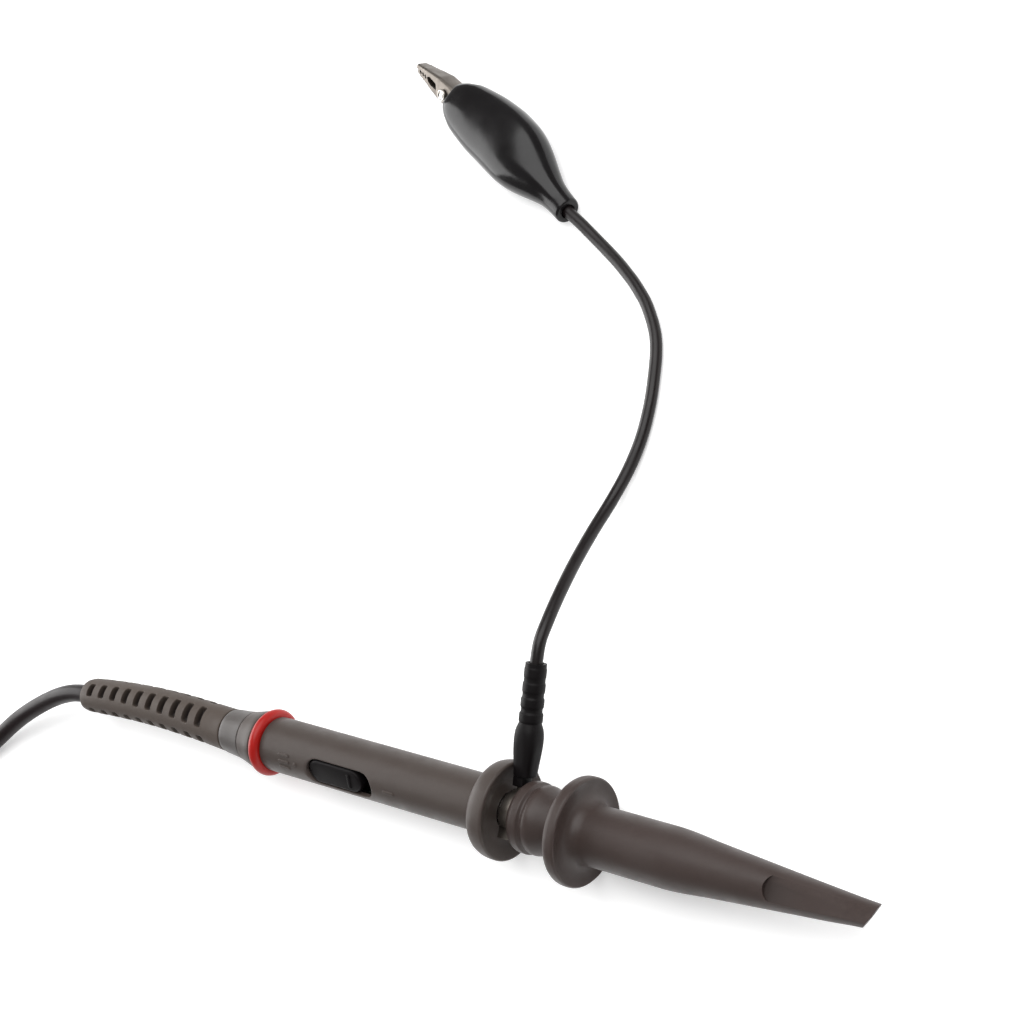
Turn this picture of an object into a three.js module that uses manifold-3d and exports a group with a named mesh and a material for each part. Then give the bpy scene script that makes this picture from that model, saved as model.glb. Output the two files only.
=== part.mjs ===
// A passive oscilloscope probe lying on a bench: probe head with a spring-loaded hook tip, an
// attenuation switch, a ground lead with an alligator clip, and a coiled cable with a BNC plug.
//
// Millimetres, +Z up, bench top at z = 0. The head lies along X with its tip towards +X, and the
// origin is under the middle of the head. Inside the head group, x is measured from a station in
// the middle of the head and z from the head's axis.
import * as THREE from "three";
import { mergeVertices } from "three/addons/utils/BufferGeometryUtils.js";
import Module from "manifold-3d";

const wasm = await Module();
wasm.setup();

// ---- Driving dimensions -------------------------------------------------------------------------

const BARREL_R = 5.75;
const BARREL_BORE_R = 4.75;
const GUARD_R = 9.9;
const SLEEVE_FLANGE_R = 10.7;
const SLEEVE_R = 5.9;
const AXIS_Z = SLEEVE_FLANGE_R; // the widest flange rests on the bench

const RELIEF_END = -113.8; // cable end of the head
const BARREL_START = -60.3;
const BAND = { start: -66.5, end: BARREL_START - 0.3 }; // the light band at the rear of the barrel
const GUARD_START = 5.7;
const NECK_START = 10.2; // the gap that the ground clip snaps into
const NECK_END = 13.4;
const SLEEVE_START = 25.5;
const TIP_END = 91.5;
const HEAD_X = -(RELIEF_END + TIP_END) / 2;

const SWITCH_TURN = THREE.MathUtils.degToRad(41); // the switch faces up and towards -Y
const SWITCH_SLOT = { start: -39.9, length: 18, width: 5.7 };
const SWITCH_KNOB = { start: -39.6, length: 14.2, width: 5.1 };
const NOSE_TURN = THREE.MathUtils.degToRad(8); // the nose's flat faces up and a little towards -Y

const CABLE_R = 2.0;
const LEAD_R = 1.3;
const RELIEF_SAG = { start: -75, down: 1.45, side: 1.1, arch: 0.55 };
const RELIEF_TURN = THREE.MathUtils.degToRad(-8.5); // the top row of slots faces a little towards +Y

const COIL = { x: -165.5, y: -79, inner: 16, outer: 32, height: 7.5 };
const TIE = { angle: THREE.MathUtils.degToRad(60), width: 4, gap: 0.3, thickness: 0.9 };

const PLUG_TILT = THREE.MathUtils.degToRad(18);
const PLUG_LENGTH = 29.6; // from the head's axis to the lead
const PLUG_SHIFT = 0.6; // the plug sits forward of the strip's middle, clear of the guard

const CLIP = { x: -66, y: 149.2, z: 5.5, turn: THREE.MathUtils.degToRad(152) };
const JAW_ROLL = THREE.MathUtils.degToRad(-35); // the jaws lie rolled over in their boot
const BNC = { x: -158, y: -122, z: 7.5, turn: THREE.MathUtils.degToRad(-4) };

const ROUND = 24; // sides of a large turned piece
const SMALL_ROUND = 16;
const TINY_ROUND = 8;

// Cable route from the strain relief to the coil: x from the head's station, y and z on the bench.
const CABLE_ROUTE = [
  [-112.9, -1.05, 9.32], [-115.6, -1.25, 9.08], [-119.5, -1.8, 8.7], [-124.6, -3.3, 7.9],
  [-132.1, -6.8, 6.3],
  [-139.4, -11.4, 4.6], [-145.6, -17.0, 3.3], [-152.0, -23.6, 2.4], [-158.5, -30.6, 2.06],
  [-165.0, -37.6, 2.04], [-172.0, -44.7, 2.04],
];
// The cable's last stretch, from the coil to the plug's strain relief.
const TAIL_ROUTE = [
  [-185.0, -107.2, 5.0], [-182.8, -111.9, 4.4], [-178.9, -116.4, 3.9], [-173.4, -119.9, 3.9],
  [-167.0, -121.7, 4.9], [-162.0, -121.85, 6.6], [-158.3, -121.98, 7.35],
];
// The ground lead, from its plug over the bench to the boot of the clip.
const LEAD_ROUTE = [
  [12.4, 27.05, 19.49], [12.4, 28.8, 20.04], [12.3, 32.3, 20.6], [11.9, 36.3, 19.6],
  [10.3, 43.2, 16.1], [8.5, 50.3, 11.7], [7.2, 57.6, 7.3], [6.9, 64.8, 3.8], [7.3, 71.7, 1.9],
  [7.8, 78.8, 1.34], [7.5, 86.0, 1.34], [6.6, 91.5, 1.34], [5.4, 96.7, 1.34],
  [4.2, 100.0, 1.34], [2.8, 102.5, 1.34], [1.1, 104.9, 1.34], [-0.9, 107.35, 1.34],
  [-3.0, 109.35, 1.34], [-5.3, 111.35, 1.34], [-7.9, 113.3, 1.34], [-10.7, 115.3, 1.34],
  [-14.1, 117.5, 1.5], [-17.9, 119.9, 1.95], [-21.7, 122.3, 2.7], [-24.2, 123.75, 3.2],
  [-25.65, 124.6, 3.5], [-26.7, 125.32, 3.66],
];

// ---- Materials ----------------------------------------------------------------------------------

const paint = (color, roughness, metalness = 0) =>
  new THREE.MeshStandardMaterial({ color, roughness, metalness });

const MATERIAL = {
  barrel: paint(0x5e5a57, 0.55),
  sleeve: paint(0x554e49, 0.5),
  band: paint(0x75716f, 0.5),
  relief: paint(0x635e5b, 0.6),
  black: paint(0x272322, 0.45),
  boot: paint(0x231e1f, 0.2),
  cable: paint(0x4c4646, 0.45),
  lead: paint(0x3e3a3b, 0.4),
  ring: paint(0xc81e19, 0.35),
  nickel: paint(0xa9a49f, 0.25, 1),
  brass: paint(0xb08d4a, 0.3, 1),
  spring: paint(0x8c8c8c, 0.3, 1),
  board: paint(0x2f5a3a, 0.6),
  ceramic: paint(0xc9b48a, 0.6),
  white: paint(0xe8e4da, 0.5),
  rubber: paint(0x8a3a2c, 0.7),
};

// ---- Building blocks ----------------------------------------------------------------------------

// A closed geometry as a solid with its faces pointing out.
function solidOf(geometry) {
  const bare = geometry.clone();
  bare.deleteAttribute("normal");
  bare.deleteAttribute("uv");
  const merged = mergeVertices(bare, 1e-4);
  const corners = merged.index.array;
  const kept = [];
  for (let i = 0; i < corners.length; i += 3) {
    const [a, b, c] = [corners[i], corners[i + 1], corners[i + 2]];
    if (a !== b && b !== c && c !== a) kept.push(a, b, c);
  }
  const vertProperties = merged.attributes.position.array;
  const build = (list) =>
    new wasm.Manifold(
      new wasm.Mesh({ numProp: 3, vertProperties, triVerts: new Uint32Array(list) }),
    );
  const made = build(kept);
  return made.volume() >= 0 ? made : build(kept.reverse());
}

function geometryOf(solid) {
  const mesh = solid.getMesh();
  const points = new Float32Array(mesh.numVert * 3);
  for (let i = 0; i < mesh.numVert; i++) {
    points.set(mesh.vertProperties.subarray(i * mesh.numProp, i * mesh.numProp + 3), i * 3);
  }
  const geometry = new THREE.BufferGeometry();
  geometry.setAttribute("position", new THREE.BufferAttribute(points, 3));
  geometry.setIndex(new THREE.BufferAttribute(new Uint32Array(mesh.triVerts), 1));
  geometry.computeVertexNormals();
  return geometry;
}

function addPiece(group, name, solid, material) {
  const mesh = new THREE.Mesh(geometryOf(solid), material);
  mesh.name = name;
  group.add(mesh);
}

// A solid turned about the X axis from its outline of [x, radius] points. An outline that starts
// off the axis closes on itself, which gives a ring or a tube.
function turned(outline, sides = ROUND) {
  const points = outline.map(([x, r]) => new THREE.Vector2(r, x));
  if (outline[0][1] > 0) points.push(points[0].clone());
  return solidOf(new THREE.LatheGeometry(points, sides).rotateZ(-Math.PI / 2));
}

// A plain rod along X.
const rod = (start, end, r, sides = TINY_ROUND) =>
  turned([[start, 0], [start, r], [end, r], [end, 0]], sides);

// A plain tube along X.
const tube = (start, end, outer, inner, sides = ROUND) =>
  turned([[start, inner], [start, outer], [end, outer], [end, inner]], sides);

// A box between two corners.
function block(low, high) {
  const size = high.map((value, i) => value - low[i]);
  const middle = high.map((value, i) => (value + low[i]) / 2);
  return solidOf(new THREE.BoxGeometry(...size).translate(...middle));
}

// An upright cylinder between two heights.
function post(x, y, low, high, r, sides = SMALL_ROUND) {
  const cylinder = new THREE.CylinderGeometry(r, r, high - low, sides).rotateX(Math.PI / 2);
  return solidOf(cylinder.translate(x, y, (low + high) / 2));
}

// An outline of [x, y] points, raised from z = low to z = high.
function raised(points, low, high, holes = []) {
  const shape = new THREE.Shape(points.map(([x, y]) => new THREE.Vector2(x, y)));
  holes.forEach((hole) => {
    shape.holes.push(new THREE.Path(hole.map(([x, y]) => new THREE.Vector2(x, y))));
  });
  const geometry = new THREE.ExtrudeGeometry(shape, { depth: high - low, bevelEnabled: false });
  return solidOf(geometry.translate(0, 0, low));
}

// The points of a slot with round ends, along X.
function slotOutline(start, length, width, steps = 6) {
  const r = width / 2;
  const points = [];
  for (const [centre, from] of [[start + length - r, -Math.PI / 2], [start + r, Math.PI / 2]]) {
    for (let i = 0; i <= steps; i++) {
      const angle = from + (Math.PI * i) / steps;
      points.push([centre + r * Math.cos(angle), r * Math.sin(angle)]);
    }
  }
  return points;
}

function arcPoints(r, from, to, steps) {
  const points = [];
  for (let i = 0; i <= steps; i++) {
    const angle = from + ((to - from) * i) / steps;
    points.push([r * Math.cos(angle), r * Math.sin(angle)]);
  }
  return points;
}

// A solid lofted along X through rounded sections: half width a, half height b, centre height z.
// The exponent n squares the section: 2 is an ellipse, 4 nearly a rectangle.
function lofted(sections, sides = 20) {
  const points = [];
  const faces = [];
  const power = (value, n) => Math.sign(value) * Math.abs(value) ** (2 / n);
  sections.forEach(({ x, a, b, n = 2, z = 0 }) => {
    for (let i = 0; i < sides; i++) {
      const angle = (2 * Math.PI * i) / sides;
      points.push(x, a * power(Math.cos(angle), n), z + b * power(Math.sin(angle), n));
    }
  });
  for (let k = 0; k + 1 < sections.length; k++) {
    for (let i = 0; i < sides; i++) {
      const next = (i + 1) % sides;
      const [p, q] = [k * sides + i, k * sides + next];
      faces.push(p, q, p + sides, q, q + sides, p + sides);
    }
  }
  const [first, last] = [sections[0], sections[sections.length - 1]];
  const rear = points.length / 3;
  points.push(first.x, 0, first.z ?? 0, last.x, 0, last.z ?? 0);
  const base = (sections.length - 1) * sides;
  for (let i = 0; i < sides; i++) {
    const next = (i + 1) % sides;
    faces.push(rear, next, i, rear + 1, base + i, base + next);
  }
  const geometry = new THREE.BufferGeometry();
  geometry.setAttribute("position", new THREE.Float32BufferAttribute(points, 3));
  geometry.setIndex(faces);
  return solidOf(geometry);
}

// A round tube along a smooth curve through the points.
function swept(route, r, steps, sides) {
  const curve = new THREE.CatmullRomCurve3(
    route.map((p) => new THREE.Vector3(...p)), false, "centripetal",
  );
  const section = new THREE.Shape(
    arcPoints(r, 0, 2 * Math.PI, sides).slice(0, sides).map(([x, y]) => new THREE.Vector2(x, y)),
  );
  return solidOf(new THREE.ExtrudeGeometry(section, { steps, extrudePath: curve }));
}

// The same solid with every vertex moved by a function of its place.
const reshaped = (solid, move) =>
  solid.warp((vertex) => {
    const [x, y, z] = move(vertex[0], vertex[1], vertex[2]);
    vertex[0] = x;
    vertex[1] = y;
    vertex[2] = z;
  });

const turnedAboutX = (solid, angle) =>
  reshaped(solid, (x, y, z) => [
    x, y * Math.cos(angle) - z * Math.sin(angle), y * Math.sin(angle) + z * Math.cos(angle),
  ]);

// ---- Probe head ---------------------------------------------------------------------------------

function barrel() {
  const shell = turned([
    [BARREL_START, 4.0], [BARREL_START, 5.4], [-58.6, 5.8], [-57.0, 6.25], [-56.1, 6.4],
    [-55.85, 6.3],
    [-55.85, 5.2], [-53.15, 5.2], [-53.15, 5.68], [-51, BARREL_R], // groove for the marker ring
    [GUARD_START - 0.3, BARREL_R], [GUARD_START - 0.3, BARREL_BORE_R],
    [-57, BARREL_BORE_R], [-57, 4.0],
  ]);
  return shell.subtract(switchWindow(3, 8));
}

// The opening over the switch, cut through the barrel and the shield.
function switchWindow(low, high) {
  const { start, length, width } = SWITCH_SLOT;
  return turnedAboutX(raised(slotOutline(start, length, width), low, high), SWITCH_TURN);
}

const guardCap = () =>
  turned([
    [1.5, 3.7], [1.5, 4.6], [GUARD_START, 4.6], [GUARD_START, 8.6], [6.3, 9.35], [7.4, 9.75],
    [8.6, GUARD_R], [9.9, GUARD_R], [NECK_START, 9.6], [10.0, 8.6], [9.3, 6.8], [9.3, 3.7],
  ]);

const groundBarrel = () =>
  turned([
    [-3, 2.55], [-3, 4.2], [-1.5, 4.2], [-1.5, 3.5], [NECK_END - 0.35, 3.5],
    [NECK_END - 0.35, 3.0],
    [35.4, 3.0], [36, 2.8], [36, 2.55],
  ], SMALL_ROUND);

const tipInsulator = () => turned([[-2, 0.75], [-2, 2.4], [41.6, 2.4], [42, 2.0], [42, 0.75]],
  SMALL_ROUND);

const tipPin = () => turned([[-3.5, 0], [-3.5, 0.6], [44.8, 0.6], [45.8, 0.2], [45.8, 0]]);

const shieldTube = () =>
  tube(-56.7, 1.2, BARREL_BORE_R - 0.1, BARREL_BORE_R - 0.35).subtract(switchWindow(3, 8));

// A rubber colour ring: flat inside its groove, round outside.
function markerRing() {
  const [centre, halfWidth, inner, bulge] = [-54.5, 1.25, 5.3, 0.55];
  const outside = arcPoints(halfWidth, 0, Math.PI, 6)
    .map(([x, r]) => [centre - x, inner + bulge + r]);
  return turned([[centre - halfWidth, inner], ...outside, [centre + halfWidth, inner]]);
}

const rearBushing = () =>
  turned([
    [BAND.start, 3.1], [BAND.start, 4.6], [-65.8, 4.75], [-62.4, 5.05], [BAND.end, 5.3],
    [BAND.end, 3.85], [-57.6, 3.85], [-57.6, 2.3], [-62.8, 2.3], [-62.8, 3.1],
  ]);

const cableFerrule = () => tube(-56.6, -52.6, 2.9, 2.15, SMALL_ROUND);

const cableInnerEnd = () => rod(-63.9, -52.4, CABLE_R, SMALL_ROUND);

// How far the strain relief has bent at a station, as [side, down]: it arches a little to the
// side, then sags with the cable.
function sagAt(x) {
  const share = Math.max(0, (RELIEF_SAG.start - x) / (RELIEF_SAG.start - RELIEF_END));
  const along = Math.max(0, (BAND.start - x) / (BAND.start - RELIEF_END));
  const arch = RELIEF_SAG.arch * Math.sin(Math.PI * along);
  return [arch - RELIEF_SAG.side * share ** 2, -RELIEF_SAG.down * share ** 2];
}

// A tapered relief with four rows of flex slots, which grow longer towards the band.
function strainRelief() {
  const [rows, slots, pitch, firstSlot] = [4, 10, 4.04, -109.8];
  const [slotWide, slotDeep, slotLong, slotGrowth] = [1.7, 1.6, 2.8, 0.2];
  const stem = BAND.start - 0.3;
  const outline = [
    [RELIEF_END + 2, 0], [RELIEF_END + 2, CABLE_R + 0.2], [RELIEF_END, CABLE_R + 0.2],
    [RELIEF_END, 3.0], [RELIEF_END + 0.5, 3.5], [RELIEF_END + 1.8, 3.8], [-108, 3.95],
    [-100, 4.1], [-91, 4.25], [-82, 4.4], [stem - 5, 4.5], [stem, 4.6], [stem, 2.9],
    [stem + 2.2, 2.9], [stem + 2.2, 0],
  ];
  let body = turned(outline);
  for (let i = 0; i < slots; i++) {
    const x = firstSlot + pitch * i;
    const halfLong = (slotLong + slotGrowth * i) / 2;
    const surface = 3.92 + (0.58 * (x - firstSlot)) / (stem - firstSlot);
    const cutter = block(
      [x - slotWide / 2, -halfLong, surface - slotDeep], [x + slotWide / 2, halfLong, surface + 1],
    );
    for (let row = 0; row < rows; row++) {
      body = body.subtract(turnedAboutX(cutter, RELIEF_TURN + (row * Math.PI) / 2));
    }
  }
  return reshaped(body, (x, y, z) => {
    const [side, down] = sagAt(x);
    return [x, y + side, z + down];
  });
}

// ---- Attenuator and switch: built facing up, then turned towards the switch ---------------------

const attenuatorBoard = () => block([-52, -3.7, -2.0], [-4, 3.7, -0.9]);

function attenuatorResistor() {
  const body = rod(-19, -10, 1.0, TINY_ROUND).add(rod(-21, -8, 0.3, 8));
  return reshaped(body, (x, y, z) => [x, y - 1.6, z + 0.5]);
}

const attenuatorCapacitor = () => block([-17, 0.6, -0.6], [-12, 3.2, 0.8]);

const switchBase = () =>
  block([-39.2, -2.3, -0.6], [-22.6, 2.3, 2.3]).subtract(block([-37.4, -0.9, 1.5], [-24.4, 0.9, 3]));

// A smooth knob with a raised lip at its front end.
function switchKnob() {
  const { start, length, width } = SWITCH_KNOB;
  const middle = start + length / 2;
  const end = start + length;
  return raised(slotOutline(start, length, width), 2.9, 5.1)
    .add(block([end - 3.4, -1.5, 5.0], [end - 2.5, 1.5, 5.5]))
    .add(block([middle - 2, -0.6, 1.8], [middle + 2, 0.6, 3.2]));
}

// ---- Hook tip -----------------------------------------------------------------------------------

const hookTipCore = () =>
  turned([
    [NECK_END, 3.15], [NECK_END, 6.0], [14.2, 6.9], [14.9, 7.1], [16.3, 7.1], [16.8, 6.55],
    [17.1, 6.5],
    [17.7, 6.85], [18.6, 6.85], [19.8, 6.35], [21.3, 5.5], [22.5, 4.95], [23.4, 4.75],
    [23.4, 4.2], [46, 4.2], [46, 3.6], [50, 3.6], [50, 0.8], [42.8, 0.8], [42.8, 2.6],
    [36.8, 2.6], [36.8, 3.15],
  ]);

function hookSleeve() {
  const shell = turned([
    [SLEEVE_START, 6.6], [SLEEVE_START, 10.2], [26.0, 10.55], [26.6, SLEEVE_FLANGE_R],
    [27.9, SLEEVE_FLANGE_R], [28.3, 10.4], [28.0, 8.8], [28.1, 7.6], [28.5, 6.8], [29.2, 6.25],
    [30.4, SLEEVE_R], [48.9, SLEEVE_R], [52.8, 5.6], [56.8, 5.15], [63.4, 4.6],
    [69.7, 4.07], [75.9, 3.55], [82.1, 3.05], [88.1, 2.6], [TIP_END, 2.42],
    [TIP_END, 1.15], [63, 1.15], [63, 3.9], [52, 3.9], [52, 4.8], [29.4, 4.8], [27.0, 6.6],
  ]);
  // The flat on top of the nose starts at a round step and runs to the tip.
  const floor = raised([[69, 3.25], [94, 1.72], [94, 9], [69, 9]], -6, 6);
  const flatCutter = reshaped(floor, (x, y, z) => [x, -z, y])
    .intersect(raised(slotOutline(69.9, 40, 6.2), -1, 10));
  // The tip is cut off at a slant, further forward towards +Y and towards the flat.
  const middle = TIP_END - 1.5;
  const plane = raised([[middle - 2.75, -5], [middle + 2.75, 5], [104, 5], [104, -5]], -6, 6);
  const slant = reshaped(plane, (x, y, z) => [x + 0.4 * z, y, z]);
  const cutters = [flatCutter, slant].map((cutter) => turnedAboutX(cutter, NOSE_TURN));
  return cutters.reduce((solid, cutter) => solid.subtract(cutter), shell);
}

// The same solid on the other side of the XZ plane.
const mirroredY = (solid) => solid.mirror([0, 1, 0]);

function hook() {
  const route = [
    [46.4, 0, 0], [56, 0, 0], [66, 0, 0], [76, 0, 0], [83, 0, 0.1], [86, 0, 0.42], [87.9, 0, 0.42],
    [88.7, 0, 0.15], [88.8, 0, -0.3], [88.3, 0, -0.6], [87.4, 0, -0.62],
  ];
  return turnedAboutX(swept(route, 0.46, 26, 6), NOSE_TURN);
}

function coilSpring(start, end, radius, wire, turns, stepsPerTurn, sides) {
  const route = [];
  const count = turns * stepsPerTurn;
  for (let i = 0; i <= count; i++) {
    const angle = (2 * Math.PI * i) / stepsPerTurn;
    route.push([
      start + ((end - start) * i) / count, radius * Math.cos(angle), radius * Math.sin(angle),
    ]);
  }
  return swept(route, wire, count, sides);
}

const hookSpring = () => coilSpring(50.7, 62.3, 2.7, 0.35, 6, 8, 5);

// ---- Ground clip and lead -----------------------------------------------------------------------

// A sprung C of strip metal round the neck, with flared ends and a tab into the moulded plug.
function groundClip() {
  const open = THREE.MathUtils.degToRad(118);
  const [inner, outer] = [3.75, 4.75];
  const flare = (side) => [
    [6.3 * Math.cos(side * (open + 0.28)), 6.3 * Math.sin(side * (open + 0.28))],
    [5.5 * Math.cos(side * (open + 0.42)), 5.5 * Math.sin(side * (open + 0.42))],
  ];
  const outline = [
    ...arcPoints(outer, -open, open, 20), ...flare(1), ...arcPoints(inner, open, -open, 20),
    ...flare(-1).reverse(),
  ];
  const strip = raised(outline, -1.3, 1.3);
  const tab = block([outer - 0.4, -0.8, -0.5], [9.4, 0.8, 0.5]);
  return strip.add(tab);
}

// The moulded plug, built along X: a narrow foot in the neck's gap, squarish above it, fullest in
// the middle, with shallow ribs at the lead end.
function groundPlug() {
  const [ribs, ribPitch, ribR] = [4, 2.9, 2.35];
  const ribStart = PLUG_LENGTH - ribs * ribPitch;
  const sections = [
    { x: 7.5, a: 1.85, b: 2.0, n: 4 }, { x: 10, a: 2.15, b: 2.25, n: 3.5 },
    { x: 13, a: 2.55, b: 2.55, n: 3 }, { x: 15, a: 2.7, b: 2.7, n: 2.6 },
    { x: 16.6, a: 2.65, b: 2.65, n: 2.3 }, { x: ribStart, a: 2.2, b: 2.2 },
  ];
  for (let i = 0; i < ribs; i++) {
    const x = ribStart + i * ribPitch;
    const r = ribR - 0.05 * i;
    sections.push(
      { x: x + 0.3, a: r, b: r }, { x: x + 1.8, a: r, b: r }, { x: x + 2.1, a: 2.1, b: 2.1 },
      { x: x + 2.8, a: 2.1, b: 2.1 },
    );
  }
  sections.push(
    { x: PLUG_LENGTH, a: 2.1, b: 2.1 }, { x: PLUG_LENGTH, a: LEAD_R + 0.2, b: LEAD_R + 0.2 },
    { x: PLUG_LENGTH - 1.6, a: LEAD_R + 0.2, b: LEAD_R + 0.2 },
  );
  const foot = block([5.4, PLUG_SHIFT - 1.25, -1.5], [7.6, PLUG_SHIFT + 1.25, 1.5]);
  const tabHole = block([5, PLUG_SHIFT - 0.8, -1.1], [9.7, PLUG_SHIFT + 0.8, 1.1]);
  return lofted(sections, 12).add(foot).subtract(tabHole);
}

// ---- Alligator clip: x runs towards the jaw tips from the pivot, jaws open in the XY plane ------

const JAW_TIP = 12.8;
const HANDLE_END = -19;

// One folded jaw with its handle, on the +Y side: a channel of sheet metal with toothed edges.
function clipJaw(halfWidth, toothShift) {
  const [sheet, teeth, toothPitch, toothStart] = [0.45, 4, 1.15, 7.4];
  const toothed = [];
  for (let i = 0; i < teeth; i++) {
    const x = toothStart + toothShift + i * toothPitch;
    toothed.push([x, 0.75], [x + toothPitch / 2, 0.2]);
  }
  const back = [
    [JAW_TIP, 1.2], [9, 1.9], [3, 2.9], [-1, 2.9], [-4, 2.4], [-7, 2.4], [-10, 3.0],
    [HANDLE_END, 3.6],
  ];
  const edge = [
    [HANDLE_END, 2.0], [-9, 1.3], [-2.2, -1.2], [2.5, -1.3], [3.6, 1.0], [6.6, 1.1],
  ];
  const outline = [...edge, ...toothed, [JAW_TIP, 0.2], ...back];
  const side = raised(outline, -halfWidth, halfWidth);
  const hollow = [
    [HANDLE_END - 1, -3], [JAW_TIP + 1, -3], [JAW_TIP + 1, 0.6], [9, 1.45], [3, 2.45],
    [-1, 2.45], [-4, 1.95], [-7, 1.95], [-10, 2.55], [HANDLE_END - 1, 3.2],
  ];
  const inside = raised(hollow, sheet - halfWidth, halfWidth - sheet);
  const pinHole = post(0, 0, -5, 5, 0.95, TINY_ROUND);
  const jaw = side.subtract(inside).subtract(pinHole);
  // The channel narrows towards the tip.
  return reshaped(jaw, (x, y, z) => {
    const share = Math.min(1, Math.max(0, (x - 3) / (JAW_TIP - 3)));
    return [x, y, z * (1 - 0.4 * share)];
  });
}

const pivotPin = () =>
  post(0, 0, -2.6, 2.6, 0.75, TINY_ROUND)
    .add(post(0, 0, -3.1, -2.6, 1.4, TINY_ROUND))
    .add(post(0, 0, 2.6, 3.1, 1.4, TINY_ROUND));

function clipSpring() {
  const spring = coilSpring(-0.8, 0.8, 1.25, 0.2, 3, 8, 5);
  return reshaped(spring, (x, y, z) => [-z, y, x]);
}

const wireScrew = () =>
  post(-16, -2.6, -2.95, -2.6, 0.8, TINY_ROUND).add(post(-16, -2.6, -2.7, -2.42, 0.5, TINY_ROUND));

// A flexible boot over the handles: a rounded end over the jaws, full in the middle, and a collar
// at the lead.
function clipBoot() {
  const [wall, mouthWall, collarEnd, mouth, collar] = [0.8, 0.5, -47.2, -3.6, 2.9];
  const skin = [
    { x: -44, a: 3.0, b: 2.9, n: 2 }, { x: -41, a: 3.35, b: 3.2, n: 2 },
    { x: -38, a: 4.4, b: 4.0, n: 2 }, { x: -34, a: 5.9, b: 4.6, n: 2.1 },
    { x: -31, a: 6.85, b: 4.9, n: 2.2 }, { x: -27.5, a: 7.5, b: 5.1, n: 2.3 },
    { x: -22, a: 7.6, b: 5.2, n: 2.5 }, { x: -15, a: 7.3, b: 5.2, n: 2.6 },
    { x: -10, a: 6.5, b: 5.2, n: 2.8 }, { x: -7, a: 6.0, b: 5.1, n: 3 },
    { x: -5, a: 5.4, b: 4.9, n: 3 }, { x: mouth, a: 4.5, b: 4.4, n: 3 },
  ];
  const lining = skin
    .filter(({ x }) => x > -27)
    .map((s) => ({ s, skinWall: s.x === mouth ? mouthWall : wall }))
    .map(({ s, skinWall }) => ({ ...s, a: s.a - skinWall, b: s.b - skinWall }))
    .reverse();
  const hole = LEAD_R + 0.2;
  const boot = lofted([
    { x: collarEnd + 1.8, a: hole, b: hole }, { x: collarEnd, a: hole, b: hole },
    { x: collarEnd, a: collar - 0.3, b: collar - 0.3 }, { x: collarEnd + 0.4, a: collar, b: collar },
    ...skin, ...lining, { x: -20.6, a: 5.4, b: 3.6 },
  ]);
  const rounding = [
    [mouth + 1, -8], [mouth + 1, 8], [-5.8, 8], [-5.6, 5.3], [-4.7, 4.5], [-4.1, 3.6],
    [mouth, 2.4], [mouth, -2.4], [-4.1, -3.6], [-4.7, -4.5], [-5.6, -5.3], [-5.8, -8],
  ];
  const trimmed = boot.subtract(raised(rounding, -8, 8));
  // The boot bends sideways behind the handles, and its soft collar droops towards the bench.
  return reshaped(trimmed, (x, y, z) => [
    x,
    y + 2.87 * Math.max(0, (-20 - x) / 28) ** 1.3,
    z - 2.1 * Math.max(0, (-24 - x) / 24) ** 1.5,
  ]);
}

// ---- Coil and BNC plug --------------------------------------------------------------------------

// The outer shape of the wound cable, with a notch under it for the tie.
function cableCoil() {
  const { inner, outer, height } = COIL;
  const outline = [
    [0, inner], [0, outer], [4, outer], [height, outer - 2], [height, inner + 2], [4, inner],
  ];
  const ring = reshaped(turned(outline, 32), (x, y, z) => [-z, y, x]);
  const depth = TIE.thickness + TIE.gap;
  const notch = block([inner - 1, -TIE.width / 2 - 0.3, -1], [outer + 1, TIE.width / 2 + 0.3, depth]);
  return ring.subtract(notch.rotate([0, 0, THREE.MathUtils.radToDeg(TIE.angle)]));
}

// A strap right round the wound cable, with a small buckle on its outer side.
function cableTie() {
  const { gap, thickness, width } = TIE;
  const { inner, outer, height } = COIL;
  const loop = (offset) => [
    [inner - offset, gap + thickness - offset], [outer + offset, gap + thickness - offset],
    [outer + offset, 4 + offset / 2], [outer - 2 + offset / 2, height + offset],
    [inner + 2 - offset / 2, height + offset], [inner - offset, 4 + offset / 2],
  ];
  const strap = raised(loop(gap + thickness), -width / 2, width / 2, [loop(gap)]);
  const buckle = block([outer + gap + 0.5, 1.6, -width / 2 - 0.7],
    [outer + gap + thickness + 1.4, 5.4, width / 2 + 0.7]);
  return reshaped(strap.add(buckle), (x, y, z) => [x, -z, y]);
}

const BOX = { start: 14.3, length: 30, halfWidth: 7, height: 15, wall: 1.2 };

function bncBox() {
  const { start, length, halfWidth, height, wall } = BOX;
  const half = height / 2;
  const end = start + length;
  const shell = lofted([
    { x: start, a: halfWidth - 0.8, b: half - 0.8, n: 6 },
    { x: start + 0.8, a: halfWidth, b: half, n: 6 },
    { x: end - 0.8, a: halfWidth, b: half, n: 6 },
    { x: end, a: halfWidth - 0.8, b: half - 0.8, n: 6 },
  ], 20);
  const cavity = block([start + wall, wall - halfWidth, -half - 1], [end - wall, halfWidth - wall,
    half - 1.4]);
  const screwHole = post(start + 20, 0, 0, 10, 1.9);
  const cableHole = rod(start - 1, start + 3, 2.6, SMALL_ROUND);
  const plugHole = rod(end - 3, end + 1, 4.95, SMALL_ROUND);
  return shell.subtract(cavity).subtract(screwHole).subtract(cableHole).subtract(plugHole);
}

function bncBoxCover() {
  const { start, length, halfWidth, height, wall } = BOX;
  const inset = wall + 0.3;
  return block([start + inset, inset - halfWidth, -height / 2],
    [start + length - inset, halfWidth - inset, wall - height / 2]);
}

const bncBoard = () => block([BOX.start + 2.5, -5, -3], [BOX.start + 26, 5, -1.9]);

const trimmerCapacitor = () => post(BOX.start + 20, 0, -1.6, 3.4, 2.9);

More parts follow.
